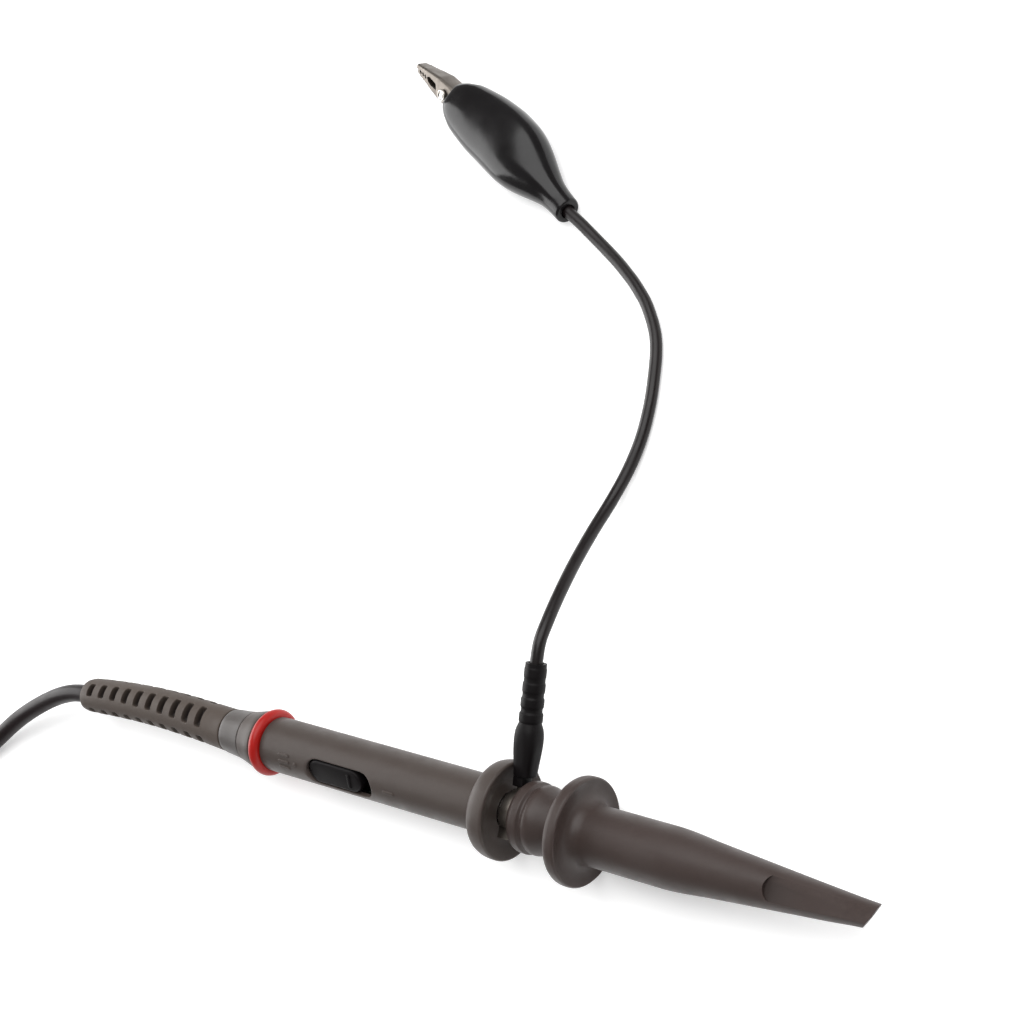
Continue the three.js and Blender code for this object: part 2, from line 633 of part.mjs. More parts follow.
const trimmerScrew = () =>
  post(BOX.start + 20, 0, 3.7, 6.7, 1.6)
    .subtract(block([BOX.start + 15, -0.3, 6.0], [BOX.start + 25, 0.3, 8]));

const bncStrainRelief = () =>
  turned([
    [1.8, 0], [1.8, CABLE_R + 0.2], [0, CABLE_R + 0.2], [0, 2.9], [1, 3.1], [1, 2.7], [2.2, 2.7],
    [2.2, 3.2], [3.6, 3.3], [3.6, 2.8], [4.8, 2.8], [4.8, 3.5], [6.2, 3.7], [6.2, 3], [7.4, 3],
    [7.4, 3.9], [9, 4.1], [14, 4.4], [14, 2.3], [15.3, 2.3], [15.3, 0],
  ], SMALL_ROUND);

const bncBody = () =>
  turned([
    [41, 3.3], [41, 4.7], [44.6, 4.7], [44.6, 6.4], [46.3, 6.4], [46.3, 4.6], [56, 4.6], [56, 3.3],
  ], SMALL_ROUND);

const bncInsulator = () => tube(45, 57.5, 3.1, 0.85, SMALL_ROUND);

const bncCentrePin = () =>
  turned([[43, 0], [43, 0.68], [60.4, 0.68], [61.4, 0.25], [61.4, 0]]);

function bncContactRing() {
  let ring = tube(56.3, 61.6, 4.05, 3.45, SMALL_ROUND);
  for (let i = 0; i < 2; i++) {
    const cut = block([58, -0.3, -6], [63, 0.3, 6]);
    ring = ring.subtract(turnedAboutX(cut, ((2 * i + 1) * Math.PI) / 4));
  }
  return ring;
}

const bncGasket = () => tube(54.4, 55.8, 5.3, 4.8, SMALL_ROUND);

// The knurled coupling nut with its two bayonet tracks.
function bncBayonetSleeve() {
  const [flutes, ridge, root] = [18, 7.3, 6.95];
  const knurl = [];
  for (let i = 0; i < flutes; i++) {
    const angle = (2 * Math.PI * i) / flutes;
    for (const [r, turn] of [[ridge, -0.09], [ridge, 0.09], [root, 0.175]]) {
      knurl.push([r * Math.cos(angle + turn), r * Math.sin(angle + turn)]);
    }
  }
  const grip = reshaped(raised(knurl, 46.8, 54), (x, y, z) => [z, x, y]);
  const front = turned([[53.5, 0], [53.5, 6.7], [62.2, 6.7], [62.8, 6.3], [62.8, 0]]);
  const bore = turned([[45, 0], [45, 4.85], [49.5, 4.85], [49.5, 5.6], [64, 5.6], [64, 0]]);
  let sleeve = grip.add(front).subtract(bore);
  for (let i = 0; i < 2; i++) sleeve = sleeve.subtract(turnedAboutX(bayonetTrack(), Math.PI * i));
  return sleeve;
}

// A quarter-turn track cut through the nut, from its front edge to a round seat.
function bayonetTrack() {
  const [steps, halfWide, low, high] = [5, 1.05, 5, 8];
  const stations = [];
  for (let i = 0; i <= steps; i++) {
    const share = i / steps;
    stations.push({ angle: 1.3 * share, x: 63.4 - 6.2 * Math.sin((share * Math.PI) / 2) });
  }
  const points = [];
  const faces = [];
  stations.forEach(({ angle, x }) => {
    for (const [dx, r] of [[-halfWide, low], [halfWide, low], [halfWide, high], [-halfWide, high]]) {
      points.push(x + dx, r * Math.sin(angle), r * Math.cos(angle));
    }
  });
  for (let k = 0; k < steps; k++) {
    for (let i = 0; i < 4; i++) {
      const [p, q] = [4 * k + i, 4 * k + ((i + 1) % 4)];
      faces.push(p, q, p + 4, q, q + 4, p + 4);
    }
  }
  const last = 4 * steps;
  faces.push(0, 2, 1, 0, 3, 2, last, last + 1, last + 2, last, last + 2, last + 3);
  const geometry = new THREE.BufferGeometry();
  geometry.setAttribute("position", new THREE.Float32BufferAttribute(points, 3));
  geometry.setIndex(faces);
  const seat = turnedAboutX(post(57.2, 0, low, high, 1.25, TINY_ROUND), -1.3);
  return solidOf(geometry).add(seat);
}

// ---- Assembly -----------------------------------------------------------------------------------

function headGroup() {
  const group = new THREE.Group();
  group.position.set(HEAD_X, 0, AXIS_Z);
  addPiece(group, "barrel", barrel(), MATERIAL.barrel);
  addPiece(group, "guard_cap", guardCap(), MATERIAL.barrel);
  addPiece(group, "ground_barrel", groundBarrel(), MATERIAL.nickel);
  addPiece(group, "tip_insulator", tipInsulator(), MATERIAL.white);
  addPiece(group, "tip_pin", tipPin(), MATERIAL.brass);
  addPiece(group, "shield_tube", shieldTube(), MATERIAL.nickel);
  addPiece(group, "marker_ring", markerRing(), MATERIAL.ring);
  addPiece(group, "rear_bushing", rearBushing(), MATERIAL.band);
  addPiece(group, "cable_ferrule", cableFerrule(), MATERIAL.nickel);
  addPiece(group, "cable_inner_end", cableInnerEnd(), MATERIAL.cable);
  addPiece(group, "strain_relief", strainRelief(), MATERIAL.relief);
  addPiece(group, "hook_tip_core", hookTipCore(), MATERIAL.sleeve);
  addPiece(group, "hook_sleeve", hookSleeve(), MATERIAL.sleeve);
  addPiece(group, "hook", hook(), MATERIAL.nickel);
  addPiece(group, "hook_spring", hookSpring(), MATERIAL.spring);
  const deck = new THREE.Group();
  deck.rotation.x = SWITCH_TURN;
  group.add(deck);
  addPiece(deck, "attenuator_board", attenuatorBoard(), MATERIAL.board);
  addPiece(deck, "attenuator_resistor", attenuatorResistor(), MATERIAL.ceramic);
  addPiece(deck, "attenuator_capacitor", attenuatorCapacitor(), MATERIAL.ceramic);
  addPiece(deck, "switch_base", switchBase(), MATERIAL.black);
  addPiece(deck, "switch_knob", switchKnob(), MATERIAL.black);
  return group;
}

// The ground clip and its plug, which swing together round the neck.
function groundClipGroup() {
  const group = new THREE.Group();
  group.position.set(HEAD_X + (NECK_START + NECK_END) / 2, 0, AXIS_Z);
  const outward = new THREE.Group();
  outward.rotation.set(PLUG_TILT, 0, Math.PI / 2, "XYZ"); // local X points outward, along +Y and up
  group.add(outward);
  const strip = new THREE.Group();
  outward.add(strip);
  addPiece(strip, "ground_clip", groundClip(), MATERIAL.nickel);
  strip.rotation.x = -Math.PI / 2; // the strip's plane stands across the head's axis
  const moulding = new THREE.Group();
  moulding.position.y = -PLUG_SHIFT;
  outward.add(moulding);
  addPiece(moulding, "ground_plug", groundPlug(), MATERIAL.black);
  return group;
}

function clipGroup() {
  const group = new THREE.Group();
  group.position.set(HEAD_X + CLIP.x, CLIP.y, CLIP.z);
  group.rotation.z = CLIP.turn;
  const jaws = new THREE.Group();
  jaws.rotation.x = JAW_ROLL;
  group.add(jaws);
  addPiece(jaws, "clip_moving_jaw", clipJaw(1.55, 0.58), MATERIAL.nickel);
  addPiece(jaws, "clip_fixed_jaw", mirroredY(clipJaw(2.3, 0)), MATERIAL.nickel);
  addPiece(jaws, "clip_pivot_pin", pivotPin(), MATERIAL.nickel);
  addPiece(jaws, "clip_spring", clipSpring(), MATERIAL.spring);
  addPiece(jaws, "clip_wire_screw", wireScrew(), MATERIAL.brass);
  addPiece(group, "clip_boot", clipBoot(), MATERIAL.boot);
  return group;
}

function bncGroup() {
  const group = new THREE.Group();
  group.position.set(HEAD_X + BNC.x, BNC.y, BNC.z);
  group.rotation.z = BNC.turn;
  addPiece(group, "bnc_strain_relief", bncStrainRelief(), MATERIAL.relief);
  addPiece(group, "bnc_box", bncBox(), MATERIAL.barrel);
  addPiece(group, "bnc_box_cover", bncBoxCover(), MATERIAL.barrel);
  addPiece(group, "bnc_board", bncBoard(), MATERIAL.board);
  addPiece(group, "trimmer_capacitor", trimmerCapacitor(), MATERIAL.white);
  addPiece(group, "trimmer_screw", trimmerScrew(), MATERIAL.brass);
  addPiece(group, "bnc_body", bncBody(), MATERIAL.nickel);
  addPiece(group, "bnc_insulator", bncInsulator(), MATERIAL.white);
  addPiece(group, "bnc_centre_pin", bncCentrePin(), MATERIAL.brass);
  addPiece(group, "bnc_contact_ring", bncContactRing(), MATERIAL.nickel);
  addPiece(group, "bnc_gasket", bncGasket(), MATERIAL.rubber);
  addPiece(group, "bnc_bayonet_sleeve", bncBayonetSleeve(), MATERIAL.nickel);
  return group;
}

// The cords where they lie on the bench.
function cordGroup() {
  const group = new THREE.Group();
  group.position.x = HEAD_X;
  addPiece(group, "probe_cable", swept(CABLE_ROUTE, CABLE_R, 16, 10), MATERIAL.cable);
  addPiece(group, "cable_tail", swept(TAIL_ROUTE, CABLE_R, 8, 10), MATERIAL.cable);
  addPiece(group, "ground_lead", swept(LEAD_ROUTE, LEAD_R, 32, 8), MATERIAL.lead);
  const coil = new THREE.Group();
  coil.position.set(COIL.x, COIL.y, 0);
  addPiece(coil, "cable_coil", cableCoil(), MATERIAL.cable);
  const tie = new THREE.Group();
  tie.rotation.z = TIE.angle;
  addPiece(tie, "cable_tie", cableTie(), MATERIAL.black);
  coil.add(tie);
  group.add(coil);
  return group;
}

const probe = new THREE.Group();
probe.add(headGroup(), groundClipGroup(), clipGroup(), bncGroup(), cordGroup());

export default probe;
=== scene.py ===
# The looks of a passive oscilloscope probe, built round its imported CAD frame.
# Shapes are worked out in millimetres in the CAD's own local frames, and placed in metres.
import math

import bmesh
import bpy
import numpy as np
from mathutils import Matrix, Vector


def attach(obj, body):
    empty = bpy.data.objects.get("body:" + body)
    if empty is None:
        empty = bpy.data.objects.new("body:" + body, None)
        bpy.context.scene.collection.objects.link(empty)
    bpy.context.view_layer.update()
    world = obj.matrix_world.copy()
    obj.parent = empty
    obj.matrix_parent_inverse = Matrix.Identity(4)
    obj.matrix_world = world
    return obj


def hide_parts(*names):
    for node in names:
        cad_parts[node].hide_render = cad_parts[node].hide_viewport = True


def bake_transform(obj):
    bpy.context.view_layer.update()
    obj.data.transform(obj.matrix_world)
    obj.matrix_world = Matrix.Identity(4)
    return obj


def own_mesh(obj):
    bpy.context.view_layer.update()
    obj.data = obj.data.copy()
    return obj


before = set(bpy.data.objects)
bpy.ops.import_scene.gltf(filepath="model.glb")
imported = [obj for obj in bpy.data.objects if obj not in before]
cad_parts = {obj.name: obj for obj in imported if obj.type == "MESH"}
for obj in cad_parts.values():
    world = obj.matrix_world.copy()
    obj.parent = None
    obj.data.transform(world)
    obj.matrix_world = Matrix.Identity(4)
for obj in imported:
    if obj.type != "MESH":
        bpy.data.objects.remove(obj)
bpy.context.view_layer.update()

MM = 0.001  # metres in a millimetre
HEAD_X = 11.15  # where the head's own x = 0 lies
AXIS_Z = 10.7  # height of the head's axis above the table
NECK_X = 11.8  # middle of the neck that the ground clip turns in
PLUG_SHIFT = 0.6
PLUG_TILT = 18  # degrees, as all turns here
SWITCH_TURN = 41
NOSE_TURN = 8
BARREL_R = 5.75
BORE_R = 4.75
CABLE_R = 2.0
LEAD_R = 1.3
SHALLOW = 40  # corners that turn less than this run into a curve


def at(x, y, z):
    return Matrix.Translation((x, y, z))


def turn(degrees, axis):
    return Matrix.Rotation(math.radians(degrees), 4, axis)


HEAD = at(HEAD_X, 0, AXIS_Z)
DECK = HEAD @ turn(SWITCH_TURN, "X")
NOSE = HEAD @ turn(NOSE_TURN, "X")
PLUG = at(HEAD_X + NECK_X, 0, AXIS_Z) @ turn(PLUG_TILT, "X") @ turn(90, "Z")
MOULDING = PLUG @ at(0, -PLUG_SHIFT, 0)
CLIP = at(HEAD_X - 66, 149.2, 5.5) @ turn(152, "Z")
JAWS = CLIP @ turn(-35, "X")
BNC = at(HEAD_X - 158, -122, 7.5) @ turn(-4, "Z")
COIL = at(HEAD_X - 165.5, -79, 0)

# ---- Camera -------------------------------------------------------------------------------------

scene = bpy.context.scene
camera = bpy.data.objects.new("camera", bpy.data.cameras.new("camera"))
scene.collection.objects.link(camera)
camera.data.lens = 83.05
camera.data.sensor_width = 36
camera.data.clip_start = 0.01
right, up, back = Vector((0.7722, 0.2852, -0.5675)), Vector((-0.1432, 0.9487, 0.2818)), Vector(
    (0.6189, -0.1364, 0.7736))
turned_to = Matrix((right, up, back)).transposed().to_4x4()
camera.matrix_world = at((278.7 + HEAD_X) * MM, -0.0056, 0.3758) @ turned_to
scene.camera = camera

# ---- Mesh building ------------------------------------------------------------------------------


def softened(points, radius=0.15, closed=True, steps=3):
    """The outline with its sharp corners rounded to a radius and its shallow ones curved."""
    points = [np.array(p, float) for p in points]
    count = len(points)
    out = []
    for i, corner in enumerate(points):
        if not closed and i in (0, count - 1):
            out.append(corner)
            continue
        before, after = points[i - 1] - corner, points[(i + 1) % count] - corner
        reach_a, reach_b = np.linalg.norm(before[:2]), np.linalg.norm(after[:2])
        if min(reach_a, reach_b) < 1e-6:
            out.append(corner)
            continue
        cosine = -(before[:2] @ after[:2]) / (reach_a * reach_b)
        angle = math.degrees(math.acos(np.clip(cosine, -1, 1)))
        if angle < 1:
            out.append(corner)
            continue
        room = 0.45 * min(reach_a, reach_b)
        cut = room if angle < SHALLOW else min(radius, room)
        support = 2.2 * cut
        if angle >= SHALLOW and support < 0.45 * reach_a:
            out.append(corner + before * support / reach_a)
        start, end = corner + before * cut / reach_a, corner + after * cut / reach_b
        for k in range(steps + 1):
            t = k / steps
            out.append((1 - t) ** 2 * start + 2 * t * (1 - t) * corner + t * t * end)
        if angle >= SHALLOW and support < 0.45 * reach_b:
            out.append(corner + after * support / reach_b)
    return out


def skin(loops, ring=False):
    """Vertices and faces over a run of loops; a loop of one point is a pole."""
    verts, faces, index = [], [], []
    for loop in loops:
        loop = np.atleast_2d(loop)
        index.append(range(len(verts), len(verts) + len(loop)))
        verts.extend(loop)
    for a, b in zip(index, index[1:] + (index[:1] if ring else [])):
        count = max(len(a), len(b))
        for i in range(count):
            j = (i + 1) % count
            if len(a) == 1 and len(b) == 1:
                continue
            if len(a) == 1:
                faces.append((a[0], b[j], b[i]))
            elif len(b) == 1:
                faces.append((a[i], a[j], b[0]))
            else:
                faces.append((a[i], a[j], b[j], b[i]))
    if not ring:
        faces.extend(tuple(loop) for loop in (index[0], index[-1]) if len(loop) > 1)
    return verts, faces


def circle(x, r, sides):
    if r < 1e-4:
        return np.array([[x, 0, 0]])
    angle = np.arange(sides) * 2 * math.pi / sides
    return np.stack([np.full(sides, x), -r * np.sin(angle), r * np.cos(angle)], axis=1)


def lathe(outline, sides=72, radius=0.15, shape=None):
    """A shape turned about X from an outline of [x, radius]; a ring if it starts off the axis."""
    ring = outline[0][1] > 0
    loops = [circle(p[0], p[1], sides) for p in softened(outline, radius, ring)]
    if shape:
        loops = [shape(loop) for loop in loops]
    return skin(loops, ring)


def rod(start, end, r, sides=24, radius=0.1):
    return lathe([[start, 0], [start, r], [end, r], [end, 0]], sides, radius)


def tube(start, end, outer, inner, sides=64, radius=0.1):
    return lathe([[start, inner], [start, outer], [end, outer], [end, inner]], sides, radius)


def section(x, a, b, n=2, sides=48):
    """A rounded section across X: half width a along Y, half height b along Z."""
    angle = np.arange(sides) * 2 * math.pi / sides
    c, s = np.cos(angle), np.sin(angle)
    reach = (np.abs(c) ** n + np.abs(s) ** n) ** (-1 / n)
    return np.stack([np.full(sides, x), a * reach * c, b * reach * s], axis=1)


def loft(sections, sides=48, radius=0.15, shape=None):
    """A shape through rounded sections of (x, a, b, n)."""
    run = softened([(x, a, b, n) for x, a, b, n in sections], radius, False)
    loops = [section(x, a, b, n, sides=sides) for x, a, b, n in run]
    if shape:
        loops = [shape(loop) for loop in loops]
    return skin(loops)


def smooth_line(points, step):
    """Points a step apart along a centripetal curve through the given ones."""
    points = np.array(points, float)
    ends = [2 * points[0] - points[1]], [2 * points[-1] - points[-2]]
    run = np.concatenate([ends[0], points, ends[1]])
    out = []
    for p0, p1, p2, p3 in zip(run, run[1:], run[2:], run[3:]):
        t0 = 0
        t1 = t0 + np.linalg.norm(p1 - p0) ** 0.5
        t2 = t1 + np.linalg.norm(p2 - p1) ** 0.5
        t3 = t2 + np.linalg.norm(p3 - p2) ** 0.5
        for t in np.linspace(t1, t2, 12, endpoint=False):
            a1 = (t1 - t) / (t1 - t0) * p0 + (t - t0) / (t1 - t0) * p1
            a2 = (t2 - t) / (t2 - t1) * p1 + (t - t1) / (t2 - t1) * p2
            a3 = (t3 - t) / (t3 - t2) * p2 + (t - t2) / (t3 - t2) * p3
            b1 = (t2 - t) / (t2 - t0) * a1 + (t - t0) / (t2 - t0) * a2
            b2 = (t3 - t) / (t3 - t1) * a2 + (t - t1) / (t3 - t1) * a3
            out.append((t2 - t) / (t2 - t1) * b1 + (t - t1) / (t2 - t1) * b2)
    out.append(points[-1])
    return spaced(np.array(out), step)


def spaced(line, step):
    gone = np.concatenate([[0], np.cumsum(np.linalg.norm(np.diff(line, axis=0), axis=1))])
    count = max(2, int(round(gone[-1] / step)) + 1)
    places = np.linspace(0, gone[-1], count)
    return np.stack([np.interp(places, gone, line[:, i]) for i in range(3)], axis=1)


def along(line, r, sides=16):
    """A round tube along a line of points, with its ends a little rounded."""
    cap = 0.35
    line = np.array(line, float)
    tangent = np.gradient(line, axis=0)
    tangent /= np.linalg.norm(tangent, axis=1)[:, None]
    side = np.cross(tangent[0], (0.1, 0.2, 1))
    loops = []
    angle = np.arange(sides) * 2 * math.pi / sides
    rings = list(zip(line, tangent, np.full(len(line), r)))
    first = [(line[0] - tangent[0] * r * cap, tangent[0], r * 0.6),
             (line[0] - tangent[0] * r * cap * 0.6, tangent[0], r * 0.9)]
    last = [(line[-1] + tangent[-1] * r * cap * 0.6, tangent[-1], r * 0.9),
            (line[-1] + tangent[-1] * r * cap, tangent[-1], r * 0.6)]
    for centre, along_it, reach in first + rings + last:
        side = side - along_it * (side @ along_it)
        side /= np.linalg.norm(side)
        other = np.cross(along_it, side)
        ring = np.cos(angle)[:, None] * side + np.sin(angle)[:, None] * other
        loops.append(centre + reach * ring)
    return skin(loops)


def extruded(outline, low, high, bevel=0.1):
    """A flat outline of [x, y] raised from z = low to z = high, with its rims softened."""
    points = np.array(outline, float)
    following = np.roll(points, -1, axis=0)
    before, after = points - np.roll(points, 1, axis=0), following - points
    area = np.sum(points[:, 0] * following[:, 1] - points[:, 1] * following[:, 0])
    facing = 1 if area > 0 else -1
    before /= np.linalg.norm(before, axis=1)[:, None]
    after /= np.linalg.norm(after, axis=1)[:, None]
    inward = np.stack([-(before + after)[:, 1], (before + after)[:, 0]], axis=1) * facing
    inward /= np.maximum(np.linalg.norm(inward, axis=1), 1e-9)[:, None]
    mitre = np.clip(1 / np.sqrt(np.maximum((1 + np.sum(before * after, axis=1)) / 2, 0.1)), 1, 1.6)
    loops = []
    rim = [(0.0, 1.0), (0.3, 0.3), (1.0, 0.0)]
    for z, side in ((low, 1), (high, -1)):
        levels = rim if side == 1 else rim[::-1]
        for rise, inset in levels:
            flat = points + inward * (mitre * inset * bevel)[:, None]
            loops.append(np.column_stack([flat, np.full(len(flat), z + side * rise * bevel)]))
    return skin(loops)


def stadium(start, length, width, steps=16):
    r = width / 2
    out = []
    for centre, begin in ((start + length - r, -90), (start + r, 90)):
        for angle in np.radians(np.linspace(begin, begin + 180, steps + 1)):
            out.append((centre + r * math.cos(angle), r * math.sin(angle)))
    return out


def arc(r, start, end, steps):
    return [(r * math.cos(a), r * math.sin(a)) for a in np.linspace(start, end, steps + 1)]


def joined(*shapes):
    verts, faces = [], []
    for some, flat in shapes:
        base = len(verts)
        verts.extend(some)
        faces.extend(tuple(base + i for i in face) for face in flat)
    return verts, faces


def block(low, high, bevel=0.15):
    """A box with softened rims, from an outline in XY."""
    (x0, y0, z0), (x1, y1, z1) = low, high
    corner = min(bevel, 0.4 * min(x1 - x0, y1 - y0))
    outline = softened([(x0, y0), (x1, y0), (x1, y1), (x0, y1)], corner)
    return extruded(outline, z0, z1, min(bevel, 0.4 * (z1 - z0)))


def mark_edges(mesh):
    """Stores how sharply each vertex stands out, from -1 in a crease to 1 on an edge, for edge wear
    and darker creases.
    """
    work = bmesh.new()
    work.from_mesh(mesh)
    value = np.zeros(len(work.verts), np.float32)
    for edge in work.edges:
        if len(edge.link_faces) != 2:
            continue
        angle = edge.calc_face_angle_signed(0)
        strength = min(1, max(0, (math.degrees(abs(angle)) - 9) / 14))
        for vert in edge.verts:
            if strength > abs(value[vert.index]):
                value[vert.index] = math.copysign(strength, angle)
    work.free()
    attribute = mesh.attributes.new("edge", "FLOAT", "POINT")
    attribute.data.foreach_set("value", value)


def raw_object(name, shape, where):
    verts, faces = shape
    mesh = bpy.data.meshes.new(name)
    mesh.from_pydata([(where @ Vector(v)) * MM for v in verts], [], faces)
    work = bmesh.new()
    work.from_mesh(mesh)
    bmesh.ops.recalc_face_normals(work, faces=work.faces)
    work.to_mesh(mesh)
    work.free()
    obj = bpy.data.objects.new(name, mesh)
    scene.collection.objects.link(obj)
    return obj


def cut(obj, *cutters):
    """obj with other closed shapes taken out of it."""
    for i, (shape, where) in enumerate(cutters):
        tool = raw_object(f"cutter{i}", shape, where)
        change = obj.modifiers.new("cut", "BOOLEAN")
        change.object, change.operation, change.solver = tool, "DIFFERENCE", "EXACT"
        evaluated = obj.evaluated_get(bpy.context.evaluated_depsgraph_get())
        obj.data = bpy.data.meshes.new_from_object(evaluated)
        obj.modifiers.clear()
        bpy.data.objects.remove(tool)
    return obj


def dressed(obj, body, look, stands_for, sharp):
    mesh = obj.data
    mesh.name = obj.name
    mesh.polygons.foreach_set("use_smooth", [True] * len(mesh.polygons))
    mesh.set_sharp_from_angle(angle=math.radians(sharp))
    mark_edges(mesh)
    mesh.materials.clear()
    mesh.materials.append(look)
    if body:
        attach(obj, body)
    if stands_for:
        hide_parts(*stands_for)
    return obj


# ---- Materials ----------------------------------------------------------------------------------


def srgb(r, g, b):
    def linear(v):
        v /= 255
        return v / 12.92 if v <= 0.04045 else ((v + 0.055) / 1.055) ** 2.4
    return linear(r), linear(g), linear(b), 1


class Look:
    """A Principled material with its colour, roughness and bump worked out from noise."""

    def __init__(self, name, colour, roughness, metallic=0.0):
        self.material = bpy.data.materials.new(name)
        self.material.use_nodes = True
        self.tree = self.material.node_tree
        self.bsdf = self.tree.nodes["Principled BSDF"]
        self.bsdf.inputs["Metallic"].default_value = metallic
        self.bsdf.inputs["Roughness"].default_value = roughness
        self.colour = colour
        self.roughness = roughness
        self.place = self.tree.nodes.new("ShaderNodeTexCoord").outputs["Object"]
        self.tint = None
        self.height = None

    def node(self, kind, settings=(), **inputs):
        made = self.tree.nodes.new(kind)
        for key, value in dict(settings).items():
            setattr(made, key, value)
        for key, value in inputs.items():
            socket = made.inputs[int(key[1:])] if key[0] == "i" and key[1:].isdigit() else (
                made.inputs[key.replace("_", " ").title()])
            if isinstance(value, bpy.types.NodeSocket):
                self.tree.links.new(value, socket)
            else:
                socket.default_value = value
        return made

    def noise(self, scale, detail=3.0):
        made = self.node("ShaderNodeTexNoise", Vector=self.place, Scale=scale, Detail=detail)
        return made.outputs["Fac"]

    def ramp(self, value, low, high, out_low=0.0, out_high=1.0):
        made = self.node("ShaderNodeMapRange", i0=value, i1=low, i2=high, i3=out_low, i4=out_high)
        return made.outputs[0]

    def maths(self, operation, a, b):
        return self.node("ShaderNodeMath", {"operation": operation}, i0=a, i1=b).outputs[0]

    def mixed(self, share, a, b):
        made = self.node("ShaderNodeMix", {"data_type": "RGBA"})
        for socket, value in ((0, share), (6, a), (7, b)):
            if isinstance(value, bpy.types.NodeSocket):
                self.tree.links.new(value, made.inputs[socket])
            else:
                made.inputs[socket].default_value = value
        return made.outputs[2]

    def shade(self, factor):
        return tuple(min(1, c * factor) for c in self.colour[:3]) + (1,)

    def vary(self, scale, amount):
        """Mottles the colour a little at one size of patch."""
        share = self.ramp(self.noise(scale), 0.32, 0.68)
        tint = self.mixed(share, self.shade(1 - amount), self.shade(1 + amount))
        if self.tint is None:
            self.tint = tint
        else:
            self.tint = self.mixed(0.5, self.tint, tint)
        return self

    def specks(self, scale, threshold, factor, amount=0.6):
        share = self.ramp(self.noise(scale, 2.0), threshold, threshold + 0.06, 0, amount)
        self.tint = self.mixed(share, self.tint, self.shade(factor))
        return self

    def worn_edges_dark_creases(self, factor, amount=0.6, scale=900, crease=0.55):
        """Lightens the edges in patches and darkens the creases."""
        edge = self.node("ShaderNodeAttribute", {"attribute_name": "edge"}).outputs["Fac"]
        patches = self.ramp(self.noise(scale, 4.0), 0.38, 0.62, 0.15, 1)
        share = self.maths("MULTIPLY", self.ramp(edge, 0.1, 1, 0, amount), patches)
        self.tint = self.mixed(share, self.tint, self.shade(factor))
        # Creases are darkened by how sharply they fold in.
        crease_darkening = self.ramp(edge, -0.1, -1, 0, 0.7)
        self.tint = self.mixed(crease_darkening, self.tint, self.shade(crease))
        return self

    def paint_slot_shade(self, factor):
        """Paints shade into what lies inside a moulded slot, darker the deeper it lies."""
        share = self.node("ShaderNodeAttribute", {"attribute_name": "slot_shade"}).outputs["Fac"]
        self.tint = self.mixed(share, self.tint, self.shade(factor))
        return self

    def rough(self, scale, amount):
        value = self.ramp(self.noise(scale), 0.3, 0.7,
                          self.roughness - amount, self.roughness + amount)
        self.tree.links.new(value, self.bsdf.inputs["Roughness"])
        return self

    def bump(self, scale, depth, detail=3.0):
        """Raises the surface by noise; depth is in millimetres."""
        made = self.node("ShaderNodeBump", Height=self.noise(scale, detail),
                         Distance=depth * MM, Strength=0.6)
        if self.height is not None:
            self.tree.links.new(self.height, made.inputs["Normal"])
        self.height = made.outputs["Normal"]
        return self

    def set(self, **values):
        for key, value in values.items():
            self.bsdf.inputs[key.replace("_", " ")].default_value = value
        return self

    def done(self):
        if self.tint is not None:
            self.tree.links.new(self.tint, self.bsdf.inputs["Base Color"])
        else:
            self.bsdf.inputs["Base Color"].default_value = self.colour
        if self.height is not None:
            self.tree.links.new(self.height, self.bsdf.inputs["Normal"])
        return self.material


def plastic(name, colour, roughness=0.45, shine=0.3):
    look = Look(name, srgb(*colour), roughness).vary(70, 0.05).vary(1100, 0.05)
    look.worn_edges_dark_creases(1.5, 0.35).rough(260, 0.07).bump(3200, 0.02, 2.0).bump(160, 0.03, 2.0)
    return look.set(Specular_IOR_Level=shine).done()


def rubber(name, colour, roughness=0.6):
    look = Look(name, srgb(*colour), roughness).vary(90, 0.07).vary(900, 0.06)
    # Where a mesh carries slot depths, its slots get painted shade, down to 0.12 of the colour at
    # the floor.
    look.specks(1500, 0.68, 1.6, 0.25).worn_edges_dark_creases(1.35, 0.3).rough(300, 0.08).paint_slot_shade(0.12)
    return look.bump(2400, 0.02).bump(220, 0.03).set(Specular_IOR_Level=0.3).done()


def metal(name, colour, roughness):
    look = Look(name, srgb(*colour), roughness, 1.0).vary(120, 0.06).vary(1500, 0.07)
    look.worn_edges_dark_creases(1.15, 0.4, crease=0.45).rough(420, 0.1)
    return look.bump(700, 0.01).bump(2600, 0.005).done()


def jacket(name, colour, roughness=0.4, shine=0.35):
    look = Look(name, srgb(*colour), roughness).vary(60, 0.08).vary(700, 0.06)
    look.specks(900, 0.7, 2.2, 0.2).rough(180, 0.09)
    return look.bump(130, 0.05, 2.0).bump(1800, 0.012).set(Specular_IOR_Level=shine).done()


LOOK = {
    "barrel": plastic("barrel_plastic", (65, 57, 53)),
    "sleeve": plastic("sleeve_plastic", (58, 48, 45)),
    "band": plastic("band_plastic", (76, 72, 70)),
    "relief": rubber("relief_rubber", (69, 60, 54)),
    "black": plastic("black_plastic", (13, 10, 11), 0.5, shine=0.13),
    "cable": jacket("cable_jacket", (27, 20, 21), shine=0.18),
    "lead": jacket("lead_jacket", (21, 16, 16), 0.35, 0.28),
    "ring": rubber("red_rubber", (158, 18, 11), 0.4),
    "nickel": metal("nickel", (190, 186, 180), 0.26),
    "dull": metal("dull_nickel", (110, 104, 98), 0.45),
    "brass": metal("brass", (196, 160, 92), 0.3),
    "spring": metal("spring_steel", (150, 150, 152), 0.28),
    "board": plastic("circuit_board", (40, 92, 58), 0.45),
    "ceramic": plastic("ceramic", (201, 180, 138), 0.5),
    "white": plastic("white_plastic", (228, 224, 214), 0.4),
    "gasket": rubber("gasket_rubber", (120, 48, 36), 0.55),
}
